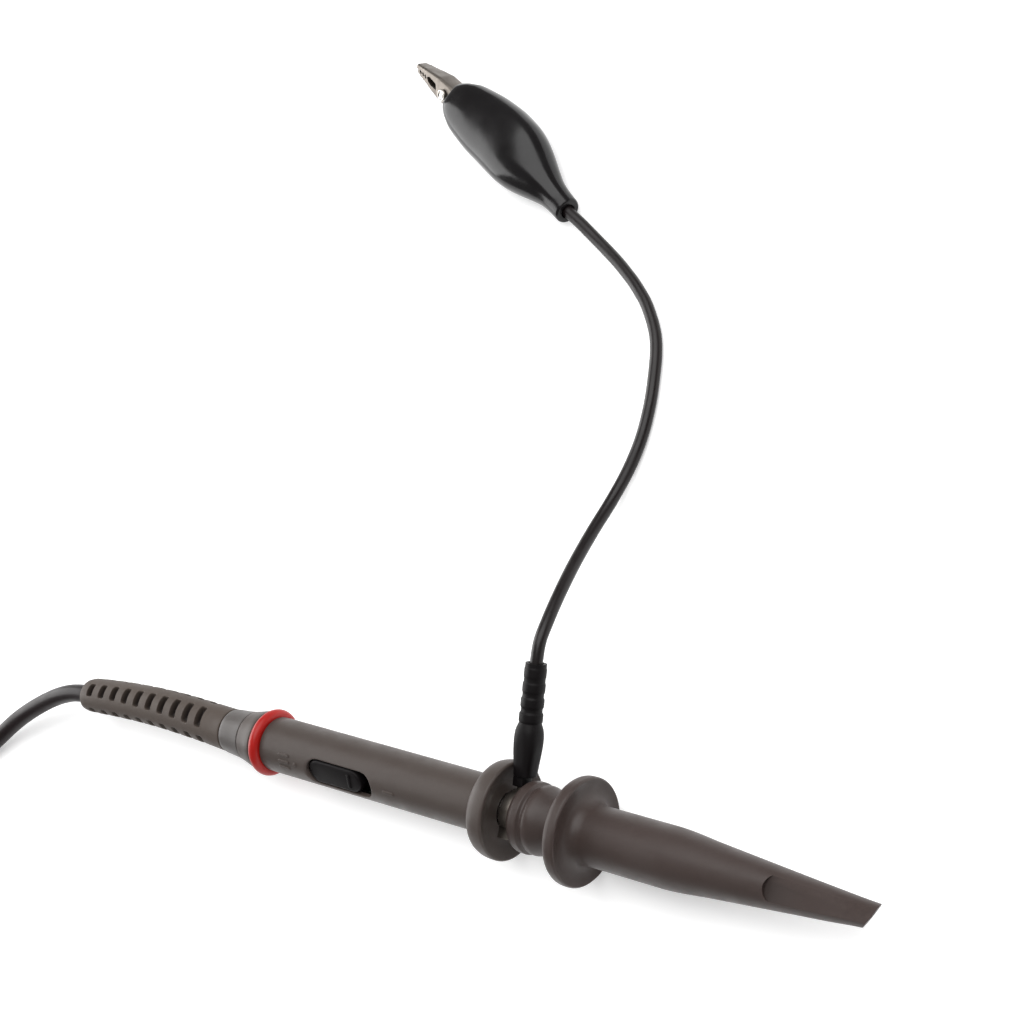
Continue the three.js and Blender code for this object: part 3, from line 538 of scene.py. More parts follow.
boot_look = Look("boot_vinyl", srgb(14, 12, 13), 0.2).vary(80, 0.15).vary(800, 0.1)
boot_look.specks(700, 0.7, 3.0, 0.15).rough(150, 0.06).set(Specular_IOR_Level=0.3)
LOOK["boot"] = boot_look.bump(90, 0.12, 2.0).bump(900, 0.012).done()


def add(name, shape, where, body, finish, stands_for=(), cutters=(), sharp=50):
    """A finished piece that rides on a body and may stand for CAD nodes."""
    obj = cut(raw_object(name, shape, where), *cutters)
    return dressed(obj, body, LOOK[finish], stands_for, sharp)


# ---- Cords --------------------------------------------------------------------------------------

CABLE_ROUTE = [
    (-112.9, -1.05, 9.32), (-115.6, -1.25, 9.08), (-119.5, -1.8, 8.7), (-124.6, -3.3, 7.9),
    (-132.1, -6.8, 6.3),
    (-139.4, -11.4, 4.6), (-145.6, -17.0, 3.3), (-152.0, -23.6, 2.4), (-158.5, -30.6, 2.06),
    (-165.0, -37.6, 2.04), (-172.0, -44.7, 2.04),
]
TAIL_ROUTE = [
    (-185.0, -107.2, 5.0), (-182.8, -111.9, 4.4), (-178.9, -116.4, 3.9), (-173.4, -119.9, 3.9),
    (-167.0, -121.7, 4.9), (-162.0, -121.85, 6.6), (-158.3, -121.98, 7.35),
]
LEAD_ROUTE = [
    (12.4, 27.05, 19.49), (12.4, 28.8, 20.04), (12.3, 32.3, 20.6), (11.9, 36.3, 19.6),
    (10.3, 43.2, 16.1), (8.5, 50.3, 11.7), (7.2, 57.6, 7.3), (6.9, 64.8, 3.8), (7.3, 71.7, 1.9),
    (7.8, 78.8, 1.34), (7.5, 86.0, 1.34), (6.6, 91.5, 1.34), (5.4, 96.7, 1.34),
    (4.2, 100.0, 1.34), (2.8, 102.5, 1.34), (1.1, 104.9, 1.34), (-0.9, 107.35, 1.34),
    (-3.0, 109.35, 1.34), (-5.3, 111.35, 1.34), (-7.9, 113.3, 1.34), (-10.7, 115.3, 1.34),
    (-14.1, 117.5, 1.5), (-17.9, 119.9, 1.95), (-21.7, 122.3, 2.7), (-24.2, 123.75, 3.2),
    (-25.65, 124.6, 3.5), (-26.7, 125.32, 3.66), (-31.55, 128.8, 4.36), (-37.35, 132.75, 5.02),
    (-43.2, 136.65, 5.45),
]


def coil_line():
    """The wound cable: a flat layer from the outside in, a second in its grooves back out, and a
    last stretch over the top."""
    middle = np.array((-165.5, -79.0))
    entry, step, cross = 134.6, 3, 60
    radii = [30, 26, 22, 18, 20, 24, 28, 26]
    lie = 2 * CABLE_R * math.sin(math.radians(60))
    levels = [0, 0, 0, 0, lie, lie, lie, 2 * lie]
    last = 7 * 360 + 65
    out = []
    for angle in np.arange(0, last + 1, step):
        k = int(angle // 360)
        share = max(0, (angle % 360 - (360 - cross)) / cross)
        smooth = share * share * (3 - 2 * share)
        after = min(k + 1, 7)
        r = radii[k] + (radii[after] - radii[k]) * smooth
        rise = max(0, (angle % 360 - (360 - 2 * cross)) / (1.7 * cross))
        rise = min(1, rise) if levels[after] != levels[k] else smooth
        z = levels[k] + (levels[after] - levels[k]) * rise * rise * (3 - 2 * rise)
        if levels[k] > 0 or levels[after] > levels[k]:
            z += 0.6 * math.sin(math.pi * share) ** 2
        place = math.radians(entry + angle)
        over_tie = (math.degrees(place) - 60 + 180) % 360 - 180
        z += 0.95 * math.exp(-((over_tie / 16) ** 2))
        out.append((middle[0] + r * math.cos(place), middle[1] + r * math.sin(place),
                    2.04 + z))
    return out


def route_line(route, step):
    return smooth_line([(x + HEAD_X, y, z) for x, y, z in route], step)


coil = coil_line()
cable_line = route_line(CABLE_ROUTE + coil + TAIL_ROUTE, 1.6)
lead_line = route_line(LEAD_ROUTE, 1.0)


probe_cable = add("cable", along(cable_line, CABLE_R, 20), Matrix.Identity(4), "probe", "cable",
                  ["probe_cable", "cable_coil", "cable_tail"])
lead = add("lead", along(lead_line, LEAD_R, 18), Matrix.Identity(4), None, "lead",
           ["ground_lead"])
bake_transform(lead)

# ---- Head: barrel and its ends ------------------------------------------------------------------

AROUND = 96


OPENING = {"start": -39.9, "length": 18, "half": 2.85}  # the switch's opening, a stadium
PATCH = (-45, -17)  # the stretch of barrel whose faces are laid out round the opening
PATCH_HALF = 16  # facets of it on each side


def barrel_shape():
    """The barrel with its switch opening: a grid round the axis with a patch round the slot."""
    outer = softened([
        (-60.3, 5.4), (-58.6, 5.8), (-57.0, 6.25), (-56.1, 6.4), (-55.85, 6.3), (-55.85, 5.2),
        (-53.15, 5.2), (-53.15, 5.68), (-51, BARREL_R), (-45, BARREL_R)], 0.12, False)
    outer += [np.array((x, BARREL_R)) for x in np.arange(-43, -17, 2.0)]
    outer += [np.array((x, BARREL_R)) for x in (-17, -12, -6, 0, 4, 5.25)]
    outer += [np.array((5.4, BARREL_R - 0.15))]
    inner = [np.array((x, 4.0)) for x in (-60.1, -57.2)]
    inner += [np.array((-57, BORE_R)), np.array((-45, BORE_R))]
    inner += [np.array((x, BORE_R)) for x in np.arange(-43, -17, 2.0)]
    inner += [np.array((x, BORE_R)) for x in (-17, -6, 5.4)]
    half = PATCH_HALF
    first = OPENING["start"] + OPENING["half"]
    last = OPENING["start"] + OPENING["length"] - OPENING["half"]

    def grid(stations, verts, faces):
        base = len(verts)
        for x, r in stations:
            verts.extend(circle(x, r, AROUND))
        rows = [i for i, (x, r) in enumerate(stations) if min(abs(x - p) for p in PATCH) < 1e-6]
        low, high = rows[0], rows[-1]
        for i in range(len(stations) - 1):
            for j in range(AROUND):
                k = (j + 1) % AROUND
                near = (j < half or j >= AROUND - half) and low <= i < high
                if not near:
                    a = base + i * AROUND
                    faces.append((a + j, a + k, a + AROUND + k, a + AROUND + j))
        rim = [(low, j) for j in range(-half, half)] + [(i, half) for i in range(low, high)]
        rim += [(high, j) for j in range(half, -half, -1)]
        rim += [(i, -half) for i in range(high, low, -1)]
        return base, [(base + i * AROUND + j % AROUND, stations[i][0], j) for i, j in rim]

    def patch(verts, rim, r, gap):
        """Loops from the rim of the gap in the grid to a line round the slot, gap away from it."""
        loops = [[index for index, x, j in rim]]
        targets = []
        for _, x, j in rim:
            angle = 2 * math.pi * j / AROUND
            y = -r * math.sin(angle)
            centre = min(max(x, first), last)
            away = np.array((x - centre, y))
            away /= np.linalg.norm(away)
            spot = np.array((centre, 0)) + away * (OPENING["half"] + gap)
            targets.append((spot[0], spot[1], x, angle, away))
        steps = 6
        for s in range(1, steps + 1):
            share = 1 - (1 - s / steps) ** 1.4
            loop = []
            for sx, sy, x, angle, _ in targets:
                goal = math.asin(-sy / r)
                a = angle + (goal - angle) * share
                loop.append(len(verts))
                verts.append(np.array((x + (sx - x) * share, -r * math.sin(a), r * math.cos(a))))
            loops.append(loop)
        return loops, targets

    verts, faces = [], []
    fillet = 0.3
    base_out, rim_out = grid(outer, verts, faces)
    loops, targets = patch(verts, rim_out, BARREL_R, fillet)
    for k in range(1, 5):
        a = math.pi / 2 * k / 4
        loop = []
        for sx, sy, x, angle, away in targets:
            spot = np.array((sx, sy)) - away * fillet * math.sin(a)
            top = math.sqrt(BARREL_R ** 2 - spot[1] ** 2)
            loop.append(len(verts))
            verts.append(np.array((spot[0], spot[1], top - fillet * (1 - math.cos(a)))))
        loops.append(loop)
    base_in, rim_in = grid(inner, verts, faces)
    inside, _ = patch(verts, rim_in, BORE_R, 0.0)
    loops += inside[::-1]
    for a, b in zip(loops, loops[1:]):
        for i in range(len(a)):
            j = (i + 1) % len(a)
            faces.append((a[i], a[j], b[j], b[i]))
    end_out, end_in = base_out + (len(outer) - 1) * AROUND, base_in + (len(inner) - 1) * AROUND
    for a, b in ((base_out, base_in), (end_out, end_in)):
        for j in range(AROUND):
            k = (j + 1) % AROUND
            faces.append((a + j, a + k, b + k, b + j))
    return verts, faces


add("barrel_shell", barrel_shape(), DECK, "probe", "barrel", ["barrel"])


def raised_mark(start, length, width, y=0.0):
    """A low pad on the barrel, following its curve."""
    outline = np.array(stadium(start, length, width, 8))
    middle = np.array((start + length / 2, 0))
    loops = []
    for share, rise in ((1, -0.25), (1, 0.04), (0.94, 0.13), (0.82, 0.17), (0.45, 0.17)):
        flat = middle + (outline - middle) * share if share == 1 else middle + (
            outline - middle) * (1 - (1 - share) * np.array((width / max(length, width), 1)))
        around = (flat[:, 1] + y) / BARREL_R
        r = BARREL_R + rise
        loops.append(np.stack([flat[:, 0], -r * np.sin(around), r * np.cos(around)], axis=1))
    return skin(loops)


marks = joined(
    raised_mark(-47.6, 3.0, 0.7, 0.8), raised_mark(-47.6, 3.0, 0.7, -0.6),
    raised_mark(-47.6, 3.0, 0.7, -2.0), raised_mark(-43.4, 0.9, 0.9, -0.6),
    raised_mark(-18.6, 3.0, 0.7, -0.4),
)
add("switch_marks", marks, DECK, "probe", "barrel")

add("guard_flange", lathe([
    (1.5, 3.7), (1.5, 4.6), (5.7, 4.6), (5.7, 8.6), (6.3, 9.35), (7.4, 9.75), (8.6, 9.9),
    (9.9, 9.9), (10.2, 9.6), (10.0, 8.6), (9.3, 6.8), (9.3, 3.7)], 96, 0.18),
    HEAD, "probe", "barrel", ["guard_cap"])
add("ground_sleeve", lathe([
    (-3, 2.55), (-3, 4.2), (-1.5, 4.2), (-1.5, 3.5), (13.05, 3.5), (13.05, 3.0), (35.4, 3.0),
    (36, 2.8), (36, 2.55)], 64, 0.12), HEAD, "probe", "nickel", ["ground_barrel"])
add("tip_core", lathe([(-2, 0.75), (-2, 2.4), (41.6, 2.4), (42, 2.0), (42, 0.75)], 48, 0.1),
    HEAD, "probe", "white", ["tip_insulator"])
add("tip_needle", lathe([(-3.5, 0), (-3.5, 0.6), (44.8, 0.6), (45.8, 0.2), (45.8, 0)], 24, 0.1),
    HEAD, "probe", "brass", ["tip_pin"])
ring_outline = [(-54.5 - x, 5.85 + y) for x, y in arc(1.25, 0, math.pi, 14)]
add("colour_ring", lathe([(-55.75, 5.3)] + ring_outline + [(-53.25, 5.3)], 96, 0.1), HEAD,
    "probe", "ring", ["marker_ring"])
add("rear_band", lathe([
    (-66.5, 3.1), (-66.5, 4.6), (-65.8, 4.75), (-62.4, 5.05), (-60.6, 5.3), (-60.6, 3.85),
    (-57.6, 3.85), (-57.6, 2.3), (-62.8, 2.3), (-62.8, 3.1)], 96, 0.12),
    HEAD, "probe", "band", ["rear_bushing"])

# ---- Strain relief ------------------------------------------------------------------------------

RELIEF = [(-113.8, 3.0), (-113.3, 3.5), (-112, 3.8), (-108, 3.95), (-100, 4.1), (-91, 4.25),
          (-82, 4.4), (-71.8, 4.5), (-66.8, 4.6)]
RELIEF_TURN = math.radians(-8.5)
SLOTS = {"count": 10, "pitch": 4.04, "first": -109.8, "wide": 1.7, "deep": 1.6, "soft": 0.13}


def relief_radius(x):
    return float(np.interp(x, [p[0] for p in RELIEF], [p[1] for p in RELIEF]))


def slot_length(x):
    """The slots grow longer towards the band."""
    return 2.8 + 1.8 * min(1, max(0, (x - SLOTS["first"]) / 36.4))


def sagged(loop):
    """The relief arches a little to the side, then bends down with the cable's weight."""
    share = np.maximum(0, (-75 - loop[:, 0]) / 38.8) ** 2
    arch = 0.55 * np.sin(math.pi * np.maximum(0, (-66.5 - loop[:, 0]) / 47.3))
    return loop + np.stack([0 * share, arch - 1.1 * share, -1.45 * share], axis=1)


def slot_depth(x, local):
    """How deep the nearest slot is at a station and an angle from the middle of its row."""
    i = round((x - SLOTS["first"]) / SLOTS["pitch"])
    if not 0 <= i < SLOTS["count"]:
        return 0.0
    r, soft, corner = relief_radius(x), SLOTS["soft"], 0.4
    gone_x = abs(x - SLOTS["first"] - SLOTS["pitch"] * i) - SLOTS["wide"] / 2
    gone_y = r * abs(math.sin(local)) - slot_length(x) / 2
    outside = math.hypot(max(0, gone_x + corner), max(0, gone_y + corner)) - corner
    edge = max(outside, min(max(gone_x, gone_y), 0) if outside <= 0 else outside)
    share = min(1, max(0, (soft - edge) / (2 * soft)))
    floor = (r - SLOTS["deep"]) / math.cos(local)
    return max(0, r - floor) * share * share * (3 - 2 * share)


def relief_shape():
    """The tapered relief, with how far each vertex lies inside a slot, kept as the share of painted
    slot shade.
    """
    soft, wide = SLOTS["soft"], SLOTS["wide"]
    offsets = (-3.0, -1.7, -1.0, -0.4, 0, 0.4, 1.0, 1.7)
    stations = {-113.3, -112.8, -112, -111.3, -70.6, -69.4, -68.2, -67.2, -66.95}
    for i in range(SLOTS["count"]):
        centre = SLOTS["first"] + SLOTS["pitch"] * i
        stations.add(centre)
        stations.update(centre + side * (wide / 2 + offset * soft)
                        for side in (-1, 1) for offset in offsets)
        stations.add(centre + SLOTS["pitch"] / 2)
    loops, slot_shade = [], []

    def add_loop(x, r, slotted):
        half = math.asin(slot_length(x) / 2 / relief_radius(x))
        local = [half * share for share in (-0.6, -0.3, 0, 0.3, 0.6)]
        local += [side * (half + offset * soft / relief_radius(x))
                  for side in (-1, 1) for offset in offsets]
        local += [-math.pi / 4, (half + math.pi / 4) / 2, -(half + math.pi / 4) / 2]
        local = sorted(local)
        ring = []
        for row in range(4):
            for angle in local:
                depth = slot_depth(x, angle) if slotted else 0
                whole = angle + row * math.pi / 2 + RELIEF_TURN
                reach = r - depth
                ring.append((x, -reach * math.sin(whole), reach * math.cos(whole)))
                slot_shade.append(min(1, depth / SLOTS["deep"]))
        loops.append(sagged(np.array(ring)))

    for x, r in ((-111.8, 0.5), (-111.8, 2.1), (-111.9, 2.2), (-113.5, 2.2), (-113.75, 2.4),
                 (-113.8, 2.75), (-113.72, 3.05), (-113.5, 3.3)):
        add_loop(x, r, False)
    for x in sorted(round(x, 3) for x in stations):
        add_loop(x, relief_radius(x), True)
    for x, r in ((-66.85, 4.57), (-66.8, 4.45), (-66.8, 3.2)):
        add_loop(x, r, False)
    return skin(loops), slot_shade


shape, slot_shade = relief_shape()
relief = add("cable_relief", shape, HEAD, "probe", "relief", ["strain_relief"], sharp=70)
# Each vertex's depth in a slot drives the painted slot shade in the relief rubber.
relief.data.attributes.new("slot_shade", "FLOAT", "POINT").data.foreach_set("value", slot_shade)

# ---- Switch -------------------------------------------------------------------------------------


def switch_shape():
    """A smooth sliding knob with a low lip across its front end."""
    start, length, width = -39.6, 14.2, 5.1
    outline = np.array(stadium(start, length, width, 24))
    spine = np.clip(outline[:, 0], start + width / 2, start + length - width / 2)
    away = outline - np.stack([spine, 0 * spine], axis=1)
    loops = []
    for inset, z in ((0.0, 2.9), (0.0, 4.65), (0.08, 4.88), (0.25, 5.03), (0.5, 5.1)):
        flat = outline - away * (inset / (width / 2))
        loops.append(np.column_stack([flat, np.full(len(flat), z)]))
    middle, end = start + length / 2, start + length
    return joined(skin(loops), block((end - 3.4, -1.6, 4.9), (end - 2.6, 1.6, 5.35), 0.2),
                  block((middle - 2, -0.6, 1.8), (middle + 2, 0.6, 3.2)))


add("switch_slide", switch_shape(), DECK, "switch_slider", "black", ["switch_knob"])

# ---- Hook tip -----------------------------------------------------------------------------------

add("hook_collar", lathe([
    (13.4, 3.15), (13.4, 6.0), (14.2, 6.9), (14.9, 7.1), (16.3, 7.1), (16.8, 6.55), (17.1, 6.5),
    (17.7, 6.85),
    (18.6, 6.85), (19.8, 6.35), (21.3, 5.5), (22.5, 4.95), (23.4, 4.75), (23.4, 4.2), (46, 4.2),
    (46, 3.6), (50, 3.6), (50, 0.8), (42.8, 0.8), (42.8, 2.6), (36.8, 2.6), (36.8, 3.15)],
    96, 0.15), HEAD, "hook_tip", "sleeve", ["hook_tip_core"])

SLEEVE = [
    (25.5, 6.6), (25.5, 10.2), (26.0, 10.55), (26.6, 10.7), (27.9, 10.7), (28.3, 10.4),
    (28.0, 8.8), (28.1, 7.6), (28.5, 6.8), (29.2, 6.25), (30.4, 5.9), (48.9, 5.9),
    (52.8, 5.6), (56.8, 5.15), (63.4, 4.6), (69.7, 4.07), (75.9, 3.55), (82.1, 3.05),
    (88.1, 2.6), (91.5, 2.42), (91.5, 1.15), (63, 1.15), (63, 3.9), (52, 3.9), (52, 4.8),
    (29.4, 4.8), (27.0, 6.6)]


def slanted(loop):
    """Slants the sleeve's tip, further forward towards +Y and towards the flat."""
    share = np.clip((loop[:, 0] - 83) / 8.5, 0, 1)
    ahead = 0.55 * loop[:, 1] + 0.4 * loop[:, 2] - 1.5
    return loop + np.stack([share * ahead, 0 * share, 0 * share], axis=1)


def nose_flat():
    """What is cut away over the flat on the nose, which starts at a round step."""
    outline = np.array(stadium(69.9, 40, 6.2, 40))
    floor = 3.25 - (outline[:, 0] - 69) * 1.53 / 25
    return skin([np.column_stack([outline, floor]), np.column_stack([outline, 0 * floor + 10])])


add("hook_shell", lathe(SLEEVE, 144, 0.18, slanted), NOSE, "hook_tip_sleeve", "sleeve",
    ["hook_sleeve"], [(nose_flat(), NOSE)], sharp=35)

hook_line = smooth_line([
    (46.4, 0, 0), (56, 0, 0), (66, 0, 0), (76, 0, 0), (83, 0, 0.1), (86, 0, 0.42),
    (87.9, 0, 0.42), (88.7, 0, 0.15), (88.8, 0, -0.3), (88.3, 0, -0.6), (87.4, 0, -0.62)], 0.3)
add("hook_wire", along(hook_line, 0.46, 14), NOSE, "hook_tip", "nickel", ["hook"])
spring_turns = np.linspace(0, 2 * math.pi * 6, 6 * 28)
spring_line = np.stack([50.7 + 11.6 * spring_turns / spring_turns[-1], 2.7 * np.cos(spring_turns),
                        2.7 * np.sin(spring_turns)], axis=1)
spring = add("sleeve_spring", along(spring_line, 0.35, 8), HEAD, "hook_tip", "spring",
             ["hook_spring"])
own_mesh(spring)

# ---- Ground clip and plug -----------------------------------------------------------------------


def flare(side):
    angle = math.radians(118)
    return [(6.3 * math.cos(side * (angle + 0.28)), 6.3 * math.sin(side * (angle + 0.28))),
            (5.5 * math.cos(side * (angle + 0.42)), 5.5 * math.sin(side * (angle + 0.42)))]


opening = math.radians(118)
strip = arc(4.75, -opening, opening, 48) + flare(1) + arc(3.75, opening, -opening, 48)
strip += flare(-1)[::-1]
clip_shape = joined(extruded(strip, -1.3, 1.3, 0.12), block((4.35, -0.8, -0.5), (9.4, 0.8, 0.5)))
add("neck_clip", clip_shape, PLUG @ turn(-90, "X"), "ground_swivel", "dull", ["ground_clip"])

plug_sections = [
    (7.5, 0.01, 0.01, 4), (7.5, 1.85, 2.0, 4), (10, 2.15, 2.25, 3.5), (13, 2.55, 2.55, 3),
    (15, 2.7, 2.7, 2.6), (16.6, 2.65, 2.65, 2.3), (18, 2.2, 2.2, 2)]
for rib in range(4):
    x, r = 18 + 2.9 * rib, 2.35 - 0.05 * rib
    plug_sections += [(x + 0.3, r, r, 2), (x + 1.8, r, r, 2), (x + 2.1, 2.1, 2.1, 2),
                      (x + 2.8, 2.1, 2.1, 2)]
plug_sections += [(29.6, 2.1, 2.1, 2), (29.6, 1.5, 1.5, 2), (28, 1.5, 1.5, 2),
                  (28, 0.01, 0.01, 2)]
tab_hole = (block((5, -0.2, -1.1), (9.7, 1.4, 1.1), 0.05), MOULDING)
add("lead_plug", loft(plug_sections, 48, 0.14), MOULDING, "ground_swivel", "black",
    ["ground_plug"], [tab_hole])
add("lead_plug_foot", block((5.4, -0.65, -1.5), (7.6, 1.85, 1.5), 0.25), MOULDING,
    "ground_swivel", "black", (), [tab_hole])

# ---- Alligator clip -----------------------------------------------------------------------------


def jaw_shape(half, shift, side):
    """A folded channel with toothed edges, opening away from +Y."""
    sheet, tip, end = 0.45, 12.8, -19
    back = [(end, 3.6), (-10, 3.0), (-7, 2.4), (-4, 2.4), (-1, 2.9), (3, 2.9), (9, 1.9),
            (tip, 1.2)]
    edge = [(end, 2.0), (-9, 1.3), (-2.2, -1.2), (2.5, -1.3), (3.6, 1.0), (6.6, 1.1)]
    for i in range(4):
        x = 7.4 + shift + i * 1.15
        edge += [(x, 0.75), (x + 0.57, 0.2)]
    edge += [(tip, 0.2)]
    places = {round(x, 3) for x, _ in back + edge} | set(np.arange(end, tip, 1.0))
    loops = []
    for x in sorted(places):
        top = np.interp(x, [p[0] for p in back], [p[1] for p in back])
        low = np.interp(x, [p[0] for p in edge], [p[1] for p in edge])
        share = min(1, max(0, (x - 3) / (tip - 3)))
        w = half * (1 - 0.4 * share)
        t = sheet * (1 - 0.25 * share)
        fold = min(0.8, 0.5 * (top - low))
        bend = max(0.05, fold - t)
        quarter = np.linspace(0, math.pi / 2, 6)
        outer = [(w, low)] + [(w - fold * (1 - math.cos(a)), top - fold * (1 - math.sin(a)))
                              for a in quarter]
        inner = [(w - t, low)] + [(w - t - bend * (1 - math.cos(a)),
                                   top - t - bend * (1 - math.sin(a))) for a in quarter]
        outer += [(-p, q) for p, q in outer[::-1]]
        inner += [(-p, q) for p, q in inner[::-1]]
        loops.append(np.array([(x, side * q, p) for p, q in outer + inner[::-1]]))
    return skin(loops)


add("jaw_fixed", jaw_shape(2.3, 0, -1), JAWS, "probe", "dull", ["clip_fixed_jaw"], sharp=40)
add("jaw_moving", jaw_shape(1.55, 0.58, 1), JAWS, "clip_jaw", "dull", ["clip_moving_jaw"],
    sharp=40)
rivet_head = [(3.0, 0), (3.0, 0.55), (2.84, 0.66), (2.84, 0.9), (3.1, 1.03), (3.1, 1.2),
              (2.95, 1.4), (2.6, 1.4), (2.6, 0)]
pin = joined(rod(-2.6, 2.6, 0.75), lathe(rivet_head, 40, 0.06),
             lathe([(-x, r) for x, r in rivet_head], 40, 0.06))
add("jaw_pin", pin, JAWS @ turn(-90, "Y"), "probe", "nickel", ["clip_pivot_pin"])

MOUTH = -3.6
BOOT = [
    (-44, 3.0, 2.9, 2), (-41, 3.35, 3.2, 2), (-38, 4.4, 4.0, 2), (-34, 5.9, 4.6, 2.1),
    (-31, 6.85, 4.9, 2.2), (-27.5, 7.5, 5.1, 2.3), (-22, 7.6, 5.2, 2.5), (-15, 7.3, 5.2, 2.6),
    (-10, 6.5, 5.2, 2.8), (-7, 6.0, 5.1, 3), (-5, 5.4, 4.9, 3), (MOUTH, 4.5, 4.4, 3)]
ROUNDING = [(0, MOUTH), (2.4, MOUTH), (3.6, -4.1), (4.5, -4.7), (5.3, -5.6)]


def boot_bend(loop):
    """Rounds the mouth back at its sides, bends the boot and lets its collar droop."""
    x, y, z = loop.T
    reach = np.interp(np.abs(y), [p[0] for p in ROUNDING], [p[1] for p in ROUNDING])
    share = np.clip((x + 9) / (MOUTH + 9), 0, 1)
    x = np.where(x > -9, -9 + share * (reach + 9), x)
    y = y + 2.87 * np.maximum(0, (-20 - x) / 28) ** 1.3
    z = z - 2.1 * np.maximum(0, (-24 - x) / 24) ** 1.5
    return np.stack([x, y, z], axis=1)


def boot_shape():
    wall, mouth_wall = 0.8, 0.5
    lining = [(x, a - wall, b - wall, n) for x, a, b, n in BOOT[6:-1]]
    x, a, b, n = BOOT[-1]
    lining = [(x, a - mouth_wall, b - mouth_wall, n)] + lining[::-1]
    collar = [(-45.4, 0.01, 0.01, 2), (-45.4, 1.5, 1.5, 2), (-47.2, 1.5, 1.5, 2),
              (-47.2, 2.6, 2.6, 2), (-46.8, 2.9, 2.9, 2)]
    return loft(collar + BOOT + lining + [(-20.6, 5.4, 3.6, 2), (-20.6, 0.01, 0.01, 2)], 80, 0.3,
                shape=boot_bend)


add("clip_cover", boot_shape(), CLIP, "probe", "boot", ["clip_boot"], sharp=60)

# ---- Coil tie and BNC plug ----------------------------------------------------------------------


def tie_shape():
    inner, outer, height, gap, thick = 16, 32, 7.5, 0.3, 0.8

    def loop(offset):
        return softened([
            (inner - offset, 0.95 - offset), (outer + offset, 0.95 - offset),
            (outer + offset, 5.5), (outer - 2, height + 0.9 + offset),
            (inner + 2, height + 0.9 + offset), (inner - offset, 5.5)], 1.2, steps=6)
    loops = []
    for offset, z in ((gap, -1.9), (gap, 1.9), (gap + 0.1, 2.0), (gap + thick - 0.1, 2.0),
                      (gap + thick, 1.9), (gap + thick, -1.9), (gap + thick - 0.1, -2.0),
                      (gap + 0.1, -2.0)):
        loops.append(np.array([(x, z, max(0.05, y)) for x, y in loop(offset)]))
    strap = skin(loops, True)
    buckle = block((outer + 0.6, -2.7, 1.6), (outer + 2.6, 2.7, 5.4), 0.4)
    return joined(strap, buckle)


add("coil_tie", tie_shape(), COIL @ turn(60, "Z"), "probe", "black", ["cable_tie"])

add("plug_relief", lathe([
    (1.8, 0), (1.8, 2.2), (0, 2.2), (0, 2.9), (1, 3.1), (1, 2.7), (2.2, 2.7), (2.2, 3.2),
    (3.6, 3.3), (3.6, 2.8), (4.8, 2.8), (4.8, 3.5), (6.2, 3.7), (6.2, 3), (7.4, 3), (7.4, 3.9),
    (9, 4.1), (14, 4.4), (14, 2.3), (15.3, 2.3), (15.3, 0)], 72, 0.15), BNC, "probe", "relief",
    ["bnc_strain_relief"])


def boxed(a, b):
    run = softened([(14.3, a - 0.8, b - 0.8, 7), (14.7, a - 0.2, b - 0.2, 7), (15.3, a, b, 7),
                    (43.3, a, b, 7), (43.9, a - 0.2, b - 0.2, 7), (44.3, a - 0.8, b - 0.8, 7)],
                   0.3, False)
    return skin([section(x, p, q, n, sides=96) for x, p, q, n in run])


cavity = block((15.5, -5.8, -8.5), (43.1, 5.8, 6.1), 0.1)
port = lathe([(3, 0), (3, 1.9), (7.2, 1.9), (7.7, 2.4), (9, 2.4), (9, 0)], 40, 0.1)
add("plug_housing", boxed(7, 7.5), BNC, "probe", "barrel", ["bnc_box"],
    [(cavity, BNC), (port, BNC @ at(34.3, 0, 0) @ turn(-90, "Y")),
     (rod(13.3, 17.3, 2.6, 48), BNC), (rod(41.3, 45.3, 4.95, 48), BNC)])
add("plug_cover", block((15.8, -5.5, -7.5), (42.8, 5.5, -6.3), 0.25), BNC, "probe", "barrel",
    ["bnc_box_cover"])
add("plug_body", lathe([
    (41, 3.3), (41, 4.7), (44.6, 4.7), (44.6, 6.4), (46.3, 6.4), (46.3, 4.6), (56, 4.6),
    (56, 3.3)], 72, 0.15), BNC, "probe", "nickel", ["bnc_body"])
add("plug_insulator", tube(45, 57.5, 3.1, 0.85, 48), BNC, "probe", "white", ["bnc_insulator"])
add("plug_pin", lathe([(43, 0), (43, 0.68), (60.4, 0.68), (61.4, 0.25), (61.4, 0)], 24, 0.1), BNC,
    "probe", "brass", ["bnc_centre_pin"])
slits = [(block((58, -0.3, -6), (63, 0.3, 6), 0.05), BNC @ turn(angle, "X")) for angle in (45, 135)]
add("plug_contact", tube(56.3, 61.6, 4.05, 3.45, 64, 0.08), BNC, "probe", "nickel",
    ["bnc_contact_ring"], slits)
add("plug_gasket", tube(54.4, 55.8, 5.3, 4.8, 64, 0.15), BNC, "probe", "gasket", ["bnc_gasket"])


def knurled(loop):
    """Flutes round the rear of the coupling nut."""
    out = loop.copy()
    x, y, z = loop.T
    r = np.hypot(y, z)
    angle = np.arctan2(y, z)
    wave = np.cos(angle * 18)
    depth = 0.35 * (1 - np.clip(wave * 2.2 + 0.6, -1, 1)) / 2
    grip = (r > 6.3) & (x < 53.6)
    edge = np.clip((53.8 - x) / 0.4, 0, 1) * np.clip((x - 46.6) / 0.3, 0, 1)
    scale = np.where(grip, (r - depth * edge) / r, 1)
    out[:, 1] *= scale
    out[:, 2] *= scale
    return out


nut = lathe([
    (46.8, 4.85), (46.8, 7.3), (53.9, 7.3), (54.1, 6.7), (62.2, 6.7), (62.8, 6.3), (62.8, 5.6),
    (49.5, 5.6), (49.5, 4.85)], 216, 0.18, knurled)


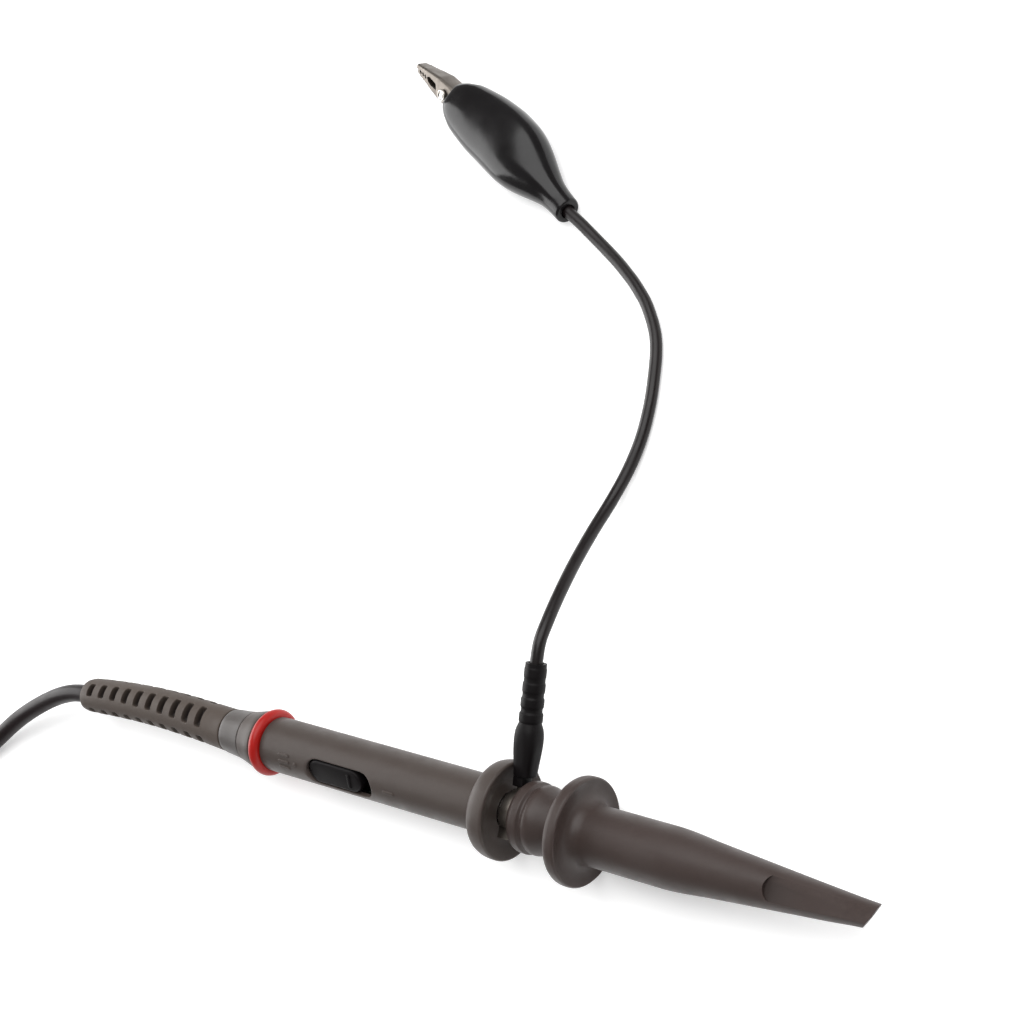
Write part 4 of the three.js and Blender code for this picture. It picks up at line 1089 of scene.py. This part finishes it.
def track():
    stations = []
    for i in range(9):
        share = i / 8
        stations.append((1.3 * share, 63.4 - 6.2 * math.sin(share * math.pi / 2)))
    loops = []
    for angle, x in stations:
        loops.append(np.array([
            (x + dx, r * math.sin(angle), r * math.cos(angle))
            for dx, r in ((-1.05, 5), (1.05, 5), (1.05, 8), (-1.05, 8))]))
    return skin(loops)


tracks = []
for half_turn in (0, 180):
    where = BNC @ turn(half_turn, "X")
    tracks.append((track(), where))
    tracks.append((rod(5, 8, 1.25, 32, 0.02), where @ turn(-74.5, "X") @ at(57.2, 0, 0)
                   @ turn(-90, "Y")))
add("coupling_nut", nut, BNC, "bayonet_nut", "nickel", ["bnc_bayonet_sleeve"], tracks, sharp=40)
SCREW_R = 1.6
SCREW_SLOT_HALF = 0.3
# A disc with two lips sunk into its top; the driver slot is the gap between the lips.
lip = math.asin(SCREW_SLOT_HALF / SCREW_R)
screw = joined(
    extruded(arc(SCREW_R, 0, 2 * math.pi * 39 / 40, 40), 3.7, 6.0, 0.05),
    extruded(arc(SCREW_R, lip, math.pi - lip, 20), 5.9, 6.7, 0.1),
    extruded(arc(SCREW_R, math.pi + lip, 2 * math.pi - lip, 20), 5.9, 6.7, 0.1),
)
add("trim_screw", screw, BNC @ at(34.3, 0, 0), "trimmer", "brass", ["trimmer_screw"])

for name, finish in (
    ("cable_ferrule", "nickel"), ("cable_inner_end", "cable"), ("shield_tube", "nickel"),
    ("attenuator_board", "board"), ("attenuator_resistor", "ceramic"),
    ("attenuator_capacitor", "ceramic"), ("switch_base", "black"), ("bnc_board", "board"),
    ("trimmer_capacitor", "white"), ("clip_wire_screw", "brass"), ("clip_spring", "spring"),
):
    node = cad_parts[name]
    if not node.material_slots:
        node.data.materials.append(LOOK[finish])
    for node_slot in node.material_slots:
        node_slot.material = LOOK[finish]

# ---- Stage --------------------------------------------------------------------------------------


def studio():
    floor_mesh = bpy.data.meshes.new("floor")
    reach = 3.0
    floor_mesh.from_pydata([(-reach, -reach, 0), (reach, -reach, 0), (reach, reach, 0),
                            (-reach, reach, 0)], [], [(0, 1, 2, 3)])
    floor = bpy.data.objects.new("floor", floor_mesh)
    scene.collection.objects.link(floor)
    look = bpy.data.materials.new("floor_paper")
    look.use_nodes = True
    paper = look.node_tree.nodes["Principled BSDF"]
    paper.inputs["Base Color"].default_value = (0.9, 0.9, 0.9, 1)
    paper.inputs["Roughness"].default_value = 0.9
    paper.inputs["Emission Color"].default_value = (1, 1, 1, 1)
    paper.inputs["Emission Strength"].default_value = 0.3
    floor_mesh.materials.append(look)
    world = bpy.data.worlds.new("studio")
    scene.world = world
    world.use_nodes = True
    world.node_tree.nodes["Background"].inputs["Color"].default_value = (1, 1, 1, 1)
    world.node_tree.nodes["Background"].inputs["Strength"].default_value = 0.3
    for name, place, size, power in (
        ("key", (0.25, 0.55, 1.2), 1.5, 24.0),
        ("side", (-1.12, -0.02, 0.46), 1.0, 14.0),
    ):
        light = bpy.data.lights.new(name, "AREA")
        light.shape, light.size, light.energy = "SQUARE", size, power
        lamp = bpy.data.objects.new(name, light)
        scene.collection.objects.link(lamp)
        lamp.location = place
        aim = Vector((0, 0.03, 0)) - Vector(place)
        lamp.rotation_euler = aim.to_track_quat("-Z", "Y").to_euler()


studio()
scene.view_settings.view_transform = "Standard"
